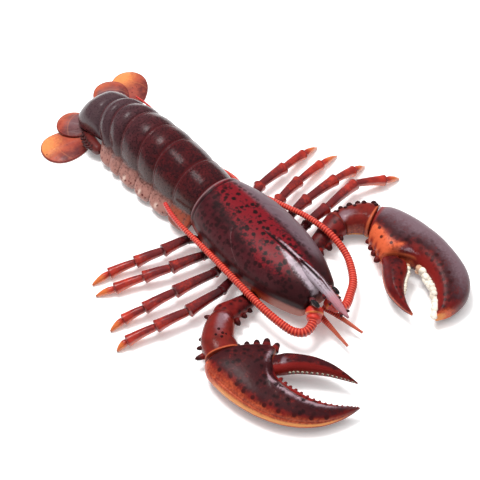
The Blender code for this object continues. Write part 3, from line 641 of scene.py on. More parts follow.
def make_paddle(root, tip, width, low, thickness, grey, yellow):
    """An egg in plan, from rings shrunk towards its middle; its top domes and carries ribs that fan out.

    The rows run from the middle of the top to the rim, and back under to the middle of the underside.
    """
    root, tip = np.array(root), np.array(tip)
    half = np.linalg.norm(tip - root) / 2
    forward = (tip - root) / (2 * half)
    sideways = np.array([-forward[1], forward[0]])
    turn = np.arange(120) * 2 * math.pi / 120
    along = half * np.cos(turn)
    across = width / 2 * np.sin(turn) * (1 + 0.22 * np.cos(turn))
    over = np.concatenate([np.linspace(0.03, 0.9, 30), [0.93, 0.955, 0.975, 0.99, 1.0]])
    under = np.array([0.995, 0.98, 0.95, 0.7, 0.4, 0.05])
    size = np.concatenate([over, under])[:, None]
    top = np.concatenate([np.ones(len(over)), np.zeros(len(under))])[:, None]
    a, b = size * along, size * across
    fan = np.arctan2(b, a + half * 1.15)
    rise = 0.32 + 0.68 * (1 - size**4)
    ribs = 0.03 * np.cos(fan * 62) * ramp(size, 0.25, 0.6) * ramp(size, 1.0, 0.92)
    keel = 0.35 * hump(fan, 0.0, 0.07) * ramp(size, 1.0, 0.85)
    lip = 0.22 * hump(size, 0.965, 0.02)
    rounding = np.concatenate([np.full(len(over), 1.0), [0.6, 0.25, 0.0, 0.0, 0.0, 0.0]])[:, None]
    z = low + np.where(top > 0, thickness * rise + ribs + keel + lip, thickness * 0.25 * rounding)
    x = (root + tip)[0] / 2 + a * forward[0] + b * sideways[0]
    y = (root + tip)[1] / 2 + a * forward[1] + b * sideways[1]
    reach = (a + half) / (2 * half)
    crease = hump(reach, 0.7 - 0.12 * (b / width * 2) ** 2, 0.014) * top
    outward = b * np.sign(forward[0])
    masks = {
        "grey": np.clip(1.3 * grey * ramp(reach, 1.0, 0.45) * ramp(size, 0.98, 0.6), 0, 1) * top,
        "yellow": yellow * ramp(reach, 0.3, 0.9) * ramp(outward, -width * 0.5, width * 0.3) * top,
        "outline": ramp(size, 0.94, 0.975) * top,
        "crease": crease * 0.8,
        "speckled": ramp(outward, width * 0.3, -width * 0.1) * top,
        "plum": ramp(outward, 0.0, -width * 0.4) * ramp(reach, 1.0, 0.6) * top * 0.8,
        "rooty": ramp(reach, 0.3, 0.12),
    }
    return skin(np.stack([x, y, z], -1), **masks)


fan_vinyl = painted_vinyl(
    "painted_vinyl_amber_fan",
    "a24a36",
    "86342a",
    (
        ("yellow", "d8844a", 1.1, 0.95),
        ("grey", "64484c", 0.9, 0.9),
        ("plum", "4c1c20", 1.0, 0.85),
        ("rooty", "4a1618", 0.7, 0.9),
        ("crease", "c87a50", 0.6, 0.3),
        ("outline", "6a2420", 0.2, 0.9),
        ("dark_tip", "2c1012", 0.2, 0.8),
    ),
    spots=("speckled", "3a1214", 2.4, 0.22),
    roughness=0.4,
    coat=0.05,
)
for node, values in FAN.items():
    piece(f"{node}_paddle", [make_paddle(*values)], fan_vinyl, "amber_vinyl_fan", node)
for node, side in (("protopod_right", -1.0), ("protopod_left", 1.0)):
    y, reach, middle, radius = through(PROTOPOD, 36).T
    path = np.stack([midline(y) + side * reach, y, middle], -1)
    stub = [skin(tube(path, radius, radius, 40, 2.2), rooty=1.0, speckled=1.0)]
    for spine_y, stub_radius in STUB_SPINES:
        spine_reach = float(np.interp(spine_y, *np.array(PROTOPOD)[:, :2].T))
        inner = (float(midline(spine_y)) + side * (spine_reach + 0.4 * stub_radius), spine_y, 6.6)
        outer = (float(midline(spine_y)) + side * (spine_reach + 1.75 * stub_radius), spine_y + 2.4, 7.6)
        stub.append(thorn(inner, outer, 1.25, rooty=1.0))
        crest = (inner[0], spine_y + 1.2, 6.4 + 0.5 * stub_radius)
        crest_tip = (crest[0] + side * 1.4, spine_y + 3.0, crest[2] + 1.7)
        stub.append(thorn(crest, crest_tip, 1.05, rooty=1.0))
    piece(f"{node}_stub", stub, fan_vinyl, "amber_vinyl_fan", node)

# Belly plate: the sternum that the legs and the claw arms are plugged into, red-brown vinyl under the
# carapace, with a shallow groove between each pair of legs.
STERNUM = ((17.0, 15.2), (-20.0, 19.6), (-38.0, 17.6), (-56.0, 11.2))
STERNUM_BOX = (1.0, 7.7)
STERNUM_GROOVES = (13.0, 2.5, -7.0, -16.5, -28.0)

y, half_width = through(STERNUM, 90).T
path = np.stack([midline(y), y, np.full_like(y, sum(STERNUM_BOX) / 2)], -1)
cut = sum(hump(y, groove, 0.8) for groove in STERNUM_GROOVES)
half_height = np.full_like(y, (STERNUM_BOX[1] - STERNUM_BOX[0]) / 2) - 0.5 * cut
claw_sprays = (
    ("orange", "cc5c38", 1.6, 0.95),
    ("plum", "2e1216", 1.6, 0.88),
    # Mauve-grey painted reflection of the white room on backs, ridges and upper edges.
    ("haze", "766068", 0.8, 0.8),
    ("yellow", "e0954c", 0.4, 0.9),
    # Pale painted highlights on the cutter's ridge and knuckle, the crusher's shoulder and the carpus.
    ("sheen", "b89aa4", 2.4, 0.45),
    ("red", "7e1e1b", 0.9, 0.85),
    ("rim", "bc5c3a", 0.6, 0.8),
    ("cream", "efe6cf", 0.2, 1.0),
    ("dots", "340e0f", 0.5, 0.9),
    ("dark_tip", "241012", 0.2, 0.9),
)
claw_vinyl = painted_vinyl(
    "painted_vinyl_maroon_claws",
    "6c1a18",
    "4c1214",
    claw_sprays,
    spots=("spotted", "1c0a0c", 3.2, 0.46),
    roughness=0.34,
    coat=0.0,
    pebble=0.9,
    specular=0.18,
)
piece("sternum_plate", [skin(tube(path, half_width - 0.4 * cut, half_height, 72, 5.0), red=0.6)], claw_vinyl,
      "maroon_vinyl_claws", "sternum")

# Walking legs: four a side, each a row of tapered segments that widen to a collar at the joint, where the
# next one plugs in. They are sprayed dark plum above, red below and amber towards the toes.
LEGS = {
    "leg_1_right": ((-22.0, -21, 5.2), (-34, -25.5, 8.0), (-55.5, -25, 8.4), (-73, -21, 6.6),
                    (-88, -17, 3.6), (-94, -17, 0.7)),
    "leg_2_right": ((-20.8, -12, 5.2), (-29, -14, 8.0), (-53, -11, 8.6), (-70, -8, 6.4),
                    (-81, -5, 3.4), (-89, -5, 0.7)),
    "leg_3_right": ((-19.6, -2, 5.2), (-26, -0.8, 7.6), (-44.2, 3, 8.2), (-57.6, 8.4, 6.2),
                    (-72, 14, 3.2), (-81, 18, 0.7)),
    "leg_4_right": ((-18.9, 9.0, 5.2), (-24, 13, 7.4), (-40, 15, 7.8), (-54.6, 19.4, 6.0),
                    (-68, 24, 3.2), (-78, 25, 0.7)),
    "leg_1_left": ((19.4, -21.4, 5.2), (30, -19.5, 8.0), (44.8, -18.4, 8.6), (69, -15, 8.4),
                   (86, -21, 4.2), (95, -23, 0.7)),
    "leg_2_left": ((18.9, -11.4, 5.2), (27, -9.5, 8.0), (41.6, -7, 8.6), (63.4, -5.6, 8.0),
                   (77.6, -4.6, 4.2), (87, -4, 0.7)),
    "leg_3_left": ((18.3, -2.4, 5.2), (24, -0.5, 7.6), (31, 3, 8.0), (47.6, 6.6, 7.6),
                   (67.6, 10.6, 4.0), (81, 12, 0.7)),
    "leg_4_left": ((17.9, 9.4, 5.2), (22, 13.5, 7.4), (29, 17.6, 7.8), (48.6, 19.6, 7.4),
                   (65.6, 22.6, 4.0), (77, 24, 0.7)),
}
LEG_RADII = (2.45, 3.05, 2.95, 2.65, 2.05)
LEG_TIP_RADIUS = 0.5
# Radius of a segment over its nominal one: share of its length, size.
SEGMENT = ((0.0, 0.7), (0.03, 0.78), (0.12, 0.8), (0.45, 0.9), (0.8, 1.04), (0.9, 1.14), (0.965, 1.2),
           (0.985, 1.05), (1.0, 0.74))
TOE = ((0.0, 0.75), (0.04, 0.86), (0.3, 0.95), (0.6, 0.78), (0.85, 0.5), (1.0, 0.27))


def make_leg(joints):
    """Rings along straight segments: the radius follows SEGMENT on all but the last, which follows TOE."""
    joints = np.array(joints, float)
    share = np.concatenate([np.linspace(0, 0.86, 15), np.linspace(0.88, 1.0, 11)])
    starts, steps = joints[:-1], np.diff(joints, axis=0)
    path = starts[:, None] + steps[:, None] * (share * 0.998)[None, :, None]
    bend = np.sin(math.pi * share)[None, :, None] * np.array([0, 0, 0.5])
    path = path + bend
    radii = np.array(LEG_RADII)[:, None] * np.interp(share, *np.array(SEGMENT).T)[None]
    radii[-1] = np.maximum(LEG_RADII[-1] * np.interp(share, *np.array(TOE).T), LEG_TIP_RADIUS)
    whole = (np.arange(5)[:, None] + share[None]) / 5
    collar = np.tile(hump(share, 0.95, 0.035), 5)
    socket = np.tile(ramp(share, 0.06, 0.0) + ramp(share, 0.985, 1.0), 5)
    path, radii, whole = path.reshape(-1, 3), radii.ravel(), whole.ravel()
    grid = tube(path, radii, radii, 28)
    above = (grid[..., 2] - path[:, None, 2]) / radii[:, None]
    inward = np.tile(share, 5)[:, None]
    masks = {
        "plum": ramp(above, -0.05, 0.7) * ramp(whole, 0.95, 0.4)[:, None]
        * (0.65 + 0.35 * ramp(inward, 0.9, 0.3)),
        "base": ramp(whole, 0.42, 0.14)[:, None] * ramp(above, -0.9, 0.0),
        "amber": ramp(whole, 0.35, 0.9)[:, None] * ramp(above, 0.7, -0.4),
        "toe": ramp(whole, 0.8, 0.93)[:, None],
        "seam": np.clip(collar * 0.6 + socket, 0, 1)[:, None],
        "speckled": ramp(above, 0.6, 0.0) * ramp(whole, 0.15, 0.3)[:, None] * 0.7,
    }
    return skin(grid, **masks)


leg_vinyl = painted_vinyl(
    "painted_vinyl_red_legs",
    "b03020",
    "8c2018",
    (
        ("amber", "cc5c28", 0.7, 0.9),
        ("plum", "50161c", 1.4, 0.85),
        ("base", "341014", 0.8, 0.92),
        ("toe", "cc6c34", 0.6, 0.8),
        ("seam", "4c1416", 0.1, 0.75),
    ),
    spots=("speckled", "4c1412", 2.0, 0.14),
    roughness=0.16,
    coat=0.5,
    specular=0.5,
)
for node, joints in LEGS.items():
    piece(f"{node}_limb", [make_leg(joints)], leg_vinyl, "red_vinyl_legs", node)

# Claw arms: ischium, merus and carpus, moulded in one with the thorns on them, red-brown with dark
# thorn tips and a pale edge where the carpus holds the claw.
# Stations from the body out: x, y, z, half width, half height.
ARM_RIGHT = (
    (-21.2, -36.8, 5.2, 3.2, 2.3),
    (-24.4, -37.4, 5.8, 3.8, 3.1),
    (-29.0, -38.2, 6.8, 4.4, 3.8),
    (-36.0, -38.4, 7.6, 5.2, 4.6),
    (-42.5, -38.6, 8.4, 6.0, 5.6),
    (-44.2, -39.6, 8.5, 5.4, 5.2),
    (-46.6, -41.0, 8.6, 6.6, 6.2),
    (-51.0, -44.4, 8.8, 7.8, 7.0),
    (-56.6, -49.8, 8.8, 8.4, 7.4),
    (-58.4, -54.4, 8.6, 9.0, 7.4),
    (-59.6, -57.6, 8.4, 9.0, 7.0),
)
ARM_LEFT = (
    (17.8, -33.2, 5.2, 3.0, 2.3),
    (21.4, -33.0, 6.2, 3.7, 3.2),
    (25.6, -32.6, 6.6, 4.6, 4.2),
    (34.0, -31.4, 7.8, 5.8, 5.2),
    (40.6, -30.6, 8.8, 6.8, 6.4),
    (42.4, -30.8, 8.8, 5.8, 5.6),
    (45.0, -31.6, 9.0, 7.0, 6.8),
    (49.6, -34.0, 9.2, 7.4, 7.6),
    (55.0, -38.0, 9.4, 8.4, 8.2),
    (57.0, -42.2, 9.4, 8.8, 8.0),
)
# Thorns: base x, y, z, tip x, y, z, radius.
RIGHT_ARM_THORNS = (
    ((-31.0, -40.0, 6.0), (-29.6, -44.6, 6.0), 1.7),
    ((-35.0, -41.0, 6.4), (-34.2, -45.8, 6.2), 1.8),
    ((-39.4, -42.0, 7.0), (-40.2, -47.4, 6.6), 2.0),
    ((-48.4, -37.0, 9.0), (-51.8, -33.4, 9.6), 1.6),
    ((-57.0, -44.4, 8.0), (-62.4, -42.0, 8.0), 1.6),
    ((-61.0, -47.6, 7.6), (-66.4, -45.4, 7.6), 1.6),
    ((-64.4, -51.2, 7.0), (-70.6, -49.4, 7.0), 1.8),
)
LEFT_ARM_THORNS = (
    ((23.6, -35.0, 6.2), (21.6, -40.8, 6.4), 2.2),
    ((29.4, -35.4, 6.6), (27.8, -40.4, 6.4), 2.3),
    ((38.6, -35.0, 7.4), (36.4, -39.8, 7.0), 1.6),
)
# Warts on each carpus: share of the way along the arm, degrees round it from its left side, radius.
RIGHT_WARTS = ((0.76, 92, 0.8), (0.79, 104, 0.8), (0.81, 86, 0.7), (0.84, 98, 0.8), (0.8, 116, 0.6))
LEFT_WARTS = ((0.58, 138, 1.3), (0.67, 136, 1.4), (0.76, 138, 1.8), (0.83, 142, 1.6), (0.87, 124, 1.5),
              (0.92, 138, 1.7), (0.95, 120, 1.4), (0.71, 116, 1.0), (0.62, 118, 0.9), (0.8, 112, 1.0))


def make_arm(stations, inner_side):
    """Level superellipses of power 2.4 along the arm, with a rim at each joint of it."""
    table = through(stations, 130)
    path, half_width, half_height = table[:, :3], table[:, 3], table[:, 4]
    share = np.linspace(0, 1, len(path))
    joint, wrist = hump(share, 0.47, 0.022), hump(share, 0.985, 0.012)
    grow = 1 + 0.05 * joint + 0.03 * wrist
    grid = tube(path, half_width * grow, half_height * grow, 64, 2.4)
    above = (grid[..., 2] - path[:, None, 2]) / half_height[:, None]
    side = (grid[..., :2] - path[:, None, :2]) @ np.array(inner_side)
    side = side / half_width[:, None]
    share = share[:, None]
    masks = {
        "plum": ramp(share, 0.42, 0.15) * ramp(above, -0.6, 0.4) * 0.7,
        # A painted reflection over the top of the carpus.
        "haze": hump(share, 0.66, 0.13) * hump(side, 0.1, 0.35) * ramp(above, 0.4, 0.9),
        "orange": ramp(side, 0.7, 1.0) * ramp(share, 0.5, 0.6) * 0.4,
        "red": ramp(share, 0.12, 0.3) * ramp(share, 0.5, 0.42) * ramp(above, 0.7, 0.0),
        "rim": np.clip(0.8 * wrist[:, None] + 0.3 * joint[:, None] + 0.2 * ramp(share, 0.5, 0.6), 0, 1)
        * ramp(above, -1.0, 0.2),
        "yellow": hump(share, 0.985, 0.02) * ramp(above, 0.2, -0.6) * 0.7
        + 0.9 * ramp(side, 0.5, 0.9) * hump(above, -0.5, 0.13) * hump(share, 0.75, 0.15),
        # A painted highlight on the carpus.
        "sheen": hump(share, 0.62, 0.07) * hump(side, 0.35, 0.25) * ramp(above, 0.2, 0.8) * 0.7,
        "wet": ramp(share, 0.5, 0.6) * 0.7,
        "dots": hump(share, 0.455, 0.008) * 0.7,
        "spotted": ramp(above, 0.0, 0.5) * ramp(share, 0.5, 0.4) * 0.8,
    }
    return skin(grid, **masks)


def wart_on(stations, share, degrees, radius):
    """A shiny dome on the arm's section at a share of the way along, at an angle round the section."""
    table = through(stations, 130)
    section = tube(table[:, :3], table[:, 3] * 0.98, table[:, 4] * 0.98, 360, 2.4)
    row = round(share * 129)
    size = (radius, radius, radius * 0.9)
    return bead(section[row, round(degrees) % 360], size, 14, 9, dark_tip=0.85, wet=1.0)


for name, stations, thorns, warts, inner_side in (
    ("claw_arm_right", ARM_RIGHT, RIGHT_ARM_THORNS, RIGHT_WARTS, (0.7, -0.7)),
    ("claw_arm_left", ARM_LEFT, LEFT_ARM_THORNS, LEFT_WARTS, (-0.7, -0.7)),
):
    skins = [make_arm(stations, inner_side)]
    skins += [thorn(*values, dark=0.8, red=0.6) for values in thorns]
    skins += [wart_on(stations, *values) for values in warts]
    piece(f"{name}_limb", skins, claw_vinyl, "maroon_vinyl_claws", name)

# Claws: the slim cutter on the right and the heavy crusher on the left, each a palm that ends in a fixed
# finger, and a second finger glued into its socket. Plum above, amber along the outer keel, with rows of
# black dots put on by brush; the cutter's edges are saw-toothed and the crusher's carry cream molars.
# Stations of each slab: outer edge x, y, inner edge x, y, height of the middle, half thickness.
CUTTER = (
    (-70.9, -57.0, -53.4, -59.0, 8.4, 6.4),
    (-73.4, -62.0, -47.2, -62.0, 8.6, 7.8),
    (-73.9, -69.8, -40.6, -67.4, 8.6, 8.6),
    (-73.6, -76.8, -37.8, -72.4, 8.6, 8.6),
    (-72.9, -81.2, -43.6, -77.4, 8.5, 8.3),
    (-71.6, -86.6, -48.4, -84.2, 8.3, 7.8),
    (-69.8, -92.4, -48.2, -91.0, 8.0, 7.2),
    (-66.6, -99.4, -46.3, -97.4, 7.6, 6.6),
    (-62.2, -106.2, -43.9, -104.4, 7.2, 6.0),
    (-56.2, -112.4, -40.7, -110.0, 6.8, 5.2),
    (-49.4, -117.2, -36.8, -114.6, 6.5, 4.3),
    (-41.0, -120.4, -32.8, -118.4, 6.4, 3.2),
    (-34.0, -121.8, -30.4, -121.0, 6.6, 1.9),
    (-29.6, -122.4, -29.1, -122.1, 7.0, 0.6),
)
CUTTER_FINGER = (
    (-42.3, -74.1, -50.5, -80.9, 9.2, 4.0),
    (-38.9, -76.1, -47.3, -83.3, 9.5, 4.3),
    (-36.2, -77.9, -44.9, -85.2, 9.8, 4.5),
    (-31.9, -82.8, -40.0, -88.4, 10.0, 4.5),
    (-27.2, -89.2, -35.0, -93.2, 10.0, 4.2),
    (-23.9, -97.0, -29.6, -99.2, 9.9, 3.5),
    (-22.4, -104.4, -25.8, -105.0, 9.7, 2.5),
    (-21.8, -109.6, -23.0, -110.0, 9.6, 1.4),
    (-21.5, -112.4, -21.8, -112.5, 9.5, 0.5),
)
CRUSHER = (
    (65.3, -40.2, 48.4, -47.2, 9.8, 8.2),
    (68.8, -45.4, 44.2, -50.8, 10.2, 9.8),
    (71.2, -53.2, 42.6, -56.4, 10.4, 10.4),
    (72.8, -61.2, 40.6, -61.4, 10.4, 10.4),
    (73.2, -67.4, 41.4, -65.6, 10.4, 10.2),
    (73.4, -72.0, 46.6, -69.6, 10.2, 9.8),
    (73.0, -77.8, 50.8, -75.6, 10.0, 9.4),
    (72.2, -84.6, 51.4, -82.6, 9.6, 8.8),
    (70.8, -91.6, 50.6, -89.4, 9.2, 8.2),
    (68.4, -98.6, 47.8, -95.4, 8.8, 7.4),
    (64.0, -104.8, 44.0, -100.6, 8.2, 6.6),
    (57.0, -109.6, 40.8, -103.8, 7.6, 5.6),
    (47.6, -110.8, 37.8, -106.2, 7.0, 4.2),
    (39.8, -108.8, 36.4, -107.2, 6.6, 2.2),
)
CRUSHER_FINGER = (
    (40.4, -64.4, 48.0, -69.0, 10.0, 3.6),
    (38.2, -67.0, 47.2, -71.6, 10.2, 4.8),
    (35.6, -69.8, 47.8, -75.2, 10.4, 5.6),
    (31.8, -74.6, 44.6, -79.2, 10.2, 5.6),
    (28.4, -80.8, 39.4, -82.4, 10.0, 5.0),
    (27.0, -87.2, 34.4, -87.0, 9.8, 4.0),
    (26.8, -94.0, 30.4, -93.4, 9.6, 2.6),
    (27.6, -99.6, 28.4, -99.5, 9.4, 0.9),
)
CUTTER_THORNS = (
    ((-53.0, -61.6, 10.6), (-50.8, -58.6, 11.8), 1.7),
    ((-49.4, -63.8, 10.6), (-46.8, -60.2, 12.0), 2.0),
    ((-45.2, -66.0, 10.6), (-42.4, -62.6, 12.0), 2.1),
    ((-41.4, -68.6, 10.6), (-37.9, -65.2, 12.0), 2.3),
    ((-39.6, -72.2, 10.4), (-35.4, -70.8, 11.4), 2.1),
)
CRUSHER_THORNS = (
    ((48.0, -51.2, 9.0), (43.4, -49.6, 9.2), 2.0),
    ((46.2, -55.0, 9.0), (41.4, -53.6, 9.2), 2.1),
    ((44.8, -58.4, 9.0), (39.8, -57.6, 9.2), 2.3),
    ((43.4, -61.6, 9.0), (37.6, -62.2, 9.2), 2.2),
)
SLAB_POWER = 2.3


def slab(stations, rows, sides):
    """Superellipses that span from the outer edge to the inner edge; also each point's share and turn.

    Turn is 0 at the outer edge, a quarter over the back, a half at the inner edge.
    """
    table = through(stations, rows)
    outer, inner = table[:, [0, 1, 4]], table[:, [2, 3, 4]]
    turn = np.arange(sides) / sides
    cosine, sine = np.cos(2 * math.pi * turn), np.sin(2 * math.pi * turn)
    cosine = np.sign(cosine) * np.abs(cosine) ** (2 / SLAB_POWER)
    sine = np.sign(sine) * np.abs(sine) ** (2 / SLAB_POWER)
    grid = (outer + inner)[:, None] / 2 + (outer - inner)[:, None] / 2 * cosine[:, None]
    grid[..., 2] += table[:, None, 5] * sine
    return grid, np.linspace(0, len(stations) - 1, rows)[:, None], turn[None]


def dots_on(grid, station, turn, places, radius):
    """Round dabs: 1 within the radius of each place, which is a station and a turn on the slab."""
    mask = np.zeros(grid.shape[:2])
    for place_station, place_turn in places:
        row = np.argmin(np.abs(station[:, 0] - place_station))
        column = np.argmin(np.abs(turn[0] - place_turn))
        distance = np.linalg.norm(grid - grid[row, column], axis=-1)
        mask = np.maximum(mask, ramp(distance, radius * 1.35, radius * 0.65))
    return mask


def teeth_on(stations, first, last, count, root_radius, tip_radius, reach, **masks):
    """Blunt teeth along the inner edge of a slab, each standing out by reach times its own radius."""
    table = np.array(stations, float)
    numbers = np.arange(len(table))
    teeth = []
    for index, place in enumerate(np.linspace(first, last, count)):
        row = np.array([np.interp(place, numbers, table[:, column]) for column in range(6)])
        outer, inner = row[[0, 1, 4]], row[[2, 3, 4]]
        across = (inner - outer) / np.linalg.norm(inner - outer)
        radius = root_radius + (tip_radius - root_radius) * index / (count - 1)
        teeth.append(thorn(inner - across * radius, inner + across * radius * reach, radius, 10, 7, **masks))
    return teeth


def make_cutter():
    """The cutter's palm and fixed finger, with its keel, the ridge to the tip and the knuckle raised."""
    grid, station, turn = slab(CUTTER, 170, 120)
    ridge_turn = np.interp(station, (3, 5, 7, 13), (0.36, 0.33, 0.3, 0.27))
    ridge = hump(turn, ridge_turn, 0.035) * ramp(station, 4.2, 6) * ramp(station, 13, 11)
    keel = hump(turn, 0.075, 0.014) * ramp(station, 0.5, 2) * ramp(station, 12.5, 9)
    knuckle = hump(station, 3.55, 0.55) * hump(turn, 0.36, 0.045)
    socket = hump(turn, 0.43, 0.03) * hump(station, 3.9, 0.5)
    trough = hump(turn, ridge_turn + 0.075, 0.04) * ramp(station, 5, 7)
    wavy_ridge = 1.7 * ridge * (1 + 0.12 * np.sin(station * 9))
    grid[..., 2] += wavy_ridge - 0.9 * keel + 1.6 * knuckle + 0.6 * socket - 1.3 * trough
    places = [(1.6 + 0.95 * step, 0.135 + 0.006 * math.sin(2.1 * step)) for step in range(10)]
    places += [(1.2 + 0.8 * step, 0.19 + 0.03 * math.sin(1.7 * step)) for step in range(5)]
    places += [(2.2, 0.33), (2.6, 0.27), (3.2, 0.3), (1.8, 0.38), (3.0, 0.22)]
    places += [(6.6 + 0.9 * step, 0.36) for step in range(5)]
    outer = np.minimum(turn, 1 - turn)
    crest = 0.9 * hump(turn, ridge_turn - 0.008, 0.013) * ramp(station, 4.0, 5.2) * ramp(station, 12, 9)
    masks = {
        "plum": ramp(outer, 0.12, 0.2) * (turn < 0.5) * (1 - 0.6 * ramp(station, 8, 13)),
        # Painted reflection on the ridge and knuckle.
        "haze": np.clip(0.6 * ridge + 0.6 * knuckle, 0, 1),
        # A painted highlight along the ridge's crest and on the knuckle.
        "sheen": np.clip(crest + hump(station, 3.6, 0.4) * hump(turn, 0.36, 0.03), 0, 1),
        "wet": np.clip(1.3 * ridge + knuckle, 0, 1),
        "orange": ramp(outer, 0.18, 0.08) * ramp(station, 13.2, 10.5) * (0.5 + 0.3 * ramp(outer, 0.05, 0.0)),
        "yellow": 0.9 * hump(outer, 0.0, 0.035) * ramp(station, 0.5, 3) * ramp(station, 12.5, 10),
        "red": ramp(turn, ridge_turn + 0.04, ridge_turn + 0.08)
        * ramp(turn, 0.56, 0.5) * ramp(station, 4, 5.5),
        "rim": hump(turn, 0.435, 0.02) * hump(station, 3.8, 0.7)
        + hump(turn, 0.45, 0.03) * hump(station, 1.8, 1.0),
        "dots": dots_on(grid, station, turn, places, 1.15),
        "spotted": ramp(outer, 0.1, 0.18) * (turn < 0.5)
        * ramp(turn, 0.44, 0.38) * ramp(station, 11, 8) * 0.9,
    }
    return skin(grid, **masks)


def make_cutter_finger():
    """The cutter's free finger: a smooth curved blade with two rows of dots along its back."""
    grid, station, turn = slab(CUTTER_FINGER, 100, 80)
    station = station - 1
    grid[..., 2] += 0.4 * hump(turn, 0.3, 0.05) * ramp(station, 1, 2.5)
    places = [(1.0 + 0.75 * step, 0.15) for step in range(8)]
    places += [(1.3 + 0.75 * step, 0.27) for step in range(7)]
    masks = {
        "plum": ramp(turn, 0.04, 0.14) * ramp(turn, 0.36, 0.26) * ramp(station, 7, 4) * 0.8,
        "red": ramp(turn, 0.28, 0.36) * ramp(turn, 0.6, 0.55),
        "orange": ramp(turn, 0.4, 0.47) * ramp(turn, 0.6, 0.52) * 0.6,
        # Painted reflection near the finger's root.
        "haze": hump(station, 0.8, 0.5) * hump(turn, 0.28, 0.06),
        "dots": dots_on(grid, station, turn, places, 0.85),
        "wet": ramp(turn, 0.1, 0.2) * ramp(turn, 0.4, 0.3),
    }
    return skin(grid, **masks)


def make_crusher():
    """The crusher's palm and fixed finger, a swollen slab with a rim round the free finger's socket."""
    grid, station, turn = slab(CRUSHER, 200, 144)
    along_rim = ramp(station, 3.2, 4.0) * ramp(station, 6.6, 6.0)
    rim = hump(turn, 0.44, 0.02) * along_rim
    shoulder = hump(station, 4.9, 0.9) * hump(turn, 0.375, 0.035)
    band = hump(turn, 0.41, 0.04) * ramp(station, 6.2, 7.4)
    creases = 0.16 * np.sin(station * 11 + turn * 40) * hump(turn, 0.43, 0.05) * ramp(station, 3.6, 1.5)
    wave = 0.5 + 0.5 * np.cos(station * 2 * math.pi / 0.75)
    bands = hump(turn, 0.47, 0.05) * wave * ramp(station, 3.9, 3.4)
    grid[..., 2] += 0.5 * rim + 0.9 * shoulder - 0.15 * band + creases + 0.5 * bands
    below = np.where(turn > 0.75, turn - 1, turn)
    places = [(6.6 + 0.62 * step, 0.33 + 0.012 * math.sin(2.3 * step)) for step in range(9)]
    places += [(7.2 + 0.8 * step, 0.28 + 0.01 * math.sin(1.9 * step)) for step in range(6)]
    places += [(1.6, 0.33), (2.3, 0.37), (3.0, 0.31), (3.6, 0.35)]
    masks = {
        "orange": np.clip(
            1.4 * ramp(turn, 0.29, 0.38) * ramp(turn, 0.78, 0.6)
            * ramp(station, 0.3, 1.2) * ramp(station, 5.2, 4.4)
            + 0.7 * hump(turn, 0.5, 0.035) * along_rim + ramp(station, 11.4, 13.0), 0, 1
        ),
        "plum": ramp(below, -0.1, 0.04) * ramp(below, 0.36, 0.25) * ramp(station, 13, 9.5),
        # Painted reflection on the outer back and the shoulder.
        "haze": ramp(below, 0.34, 0.14) * ramp(below, -0.1, 0.02) * ramp(station, 13, 8) + 0.4 * shoulder,
        # A painted highlight on the shoulder above the socket.
        "sheen": hump(station, 5.5, 0.7) * hump(turn, 0.386, 0.016),
        "wet": np.clip(shoulder, 0, 1),
        "red": hump(turn, 0.45, 0.09) * ramp(station, 5.6, 6.8) * ramp(station, 12.5, 10.5)
        + 0.8 * ramp(station, 0.9, 0.2) + bands,
        "rim": 0.7 * rim,
        "spotted": 0.6 * hump(turn, 0.3, 0.07) * ramp(station, 2.5, 4),
        "yellow": 0.7 * ramp(station, 12.4, 13) + hump(turn, 0.5, 0.04) * hump(station, 6.7, 0.25),
        "dots": dots_on(grid, station, turn, places, 0.95),
    }
    return skin(grid, **masks)


def make_crusher_finger():
    """The crusher's free finger: a short hooked slab, humped over its back."""
    grid, station, turn = slab(CRUSHER_FINGER, 90, 88)
    grid[..., 2] += 0.6 * hump(turn, 0.22, 0.08) * ramp(station, 1.2, 3)
    places = [(1.7 + 0.6 * step, 0.3 + 0.02 * math.sin(2.4 * step)) for step in range(8)]
    places += [(2.2 + 0.8 * step, 0.22) for step in range(5)]
    masks = {
        "plum": hump(turn, 0.25, 0.11) * ramp(station, 6, 1.5) * 0.7,
        "red": ramp(turn, 0.32, 0.4) * ramp(turn, 0.6, 0.55),
        "orange": ramp(turn, 0.08, 0.0) * 0.8 + ramp(station, 6.2, 7) * 0.4,
        # Painted reflection along the finger's upper edge.
        "haze": hump(turn, 0.12, 0.07) * ramp(station, 6, 3) * 0.3,
        "dots": dots_on(grid, station, turn, places, 0.85),
    }
    return skin(grid, **masks)


cutter = [make_cutter()] + [thorn(*values) for values in CUTTER_THORNS]
cutter += teeth_on(CUTTER, 5.3, 12.2, 16, 1.35, 0.65, 1.7, dark=0.5, red=1.0)
piece("cutter_palm", cutter, claw_vinyl, "maroon_vinyl_claws", "claw_cutter")
cutter_finger = [make_cutter_finger()] + teeth_on(CUTTER_FINGER, 2.5, 7.3, 16, 0.85, 0.45, 1.3, cream=0.8)
piece("cutter_finger", cutter_finger, claw_vinyl, "maroon_vinyl_claws", "claw_cutter_finger")
crusher = [make_crusher()] + [thorn(*values, dark=0.6, red=1.0) for values in CRUSHER_THORNS]
piece("crusher_palm", crusher, claw_vinyl, "maroon_vinyl_claws", "claw_crusher")
piece("crusher_finger", [make_crusher_finger()], claw_vinyl, "maroon_vinyl_claws", "claw_crusher_finger")

# Molars: the crusher's grinding teeth, two rows of lumps moulded on the inner edges of both fingers and
# brushed with cream paint that turns amber at the root.
# Rows of lumps: height and reach of the row, both as a share of a lump's size.
PALM_MOLAR_ROWS = ((0.85, 0.45), (-0.3, 0.75))
FINGER_MOLAR_ROWS = ((0.6, 0.4), (-0.4, 0.5))

enamel = painted_vinyl(
    "painted_vinyl_cream_molars", "ece4d6", "d2c6b4", (("root", "b06a34", 0.8, 0.8),), roughness=0.4, coat=0.2
)


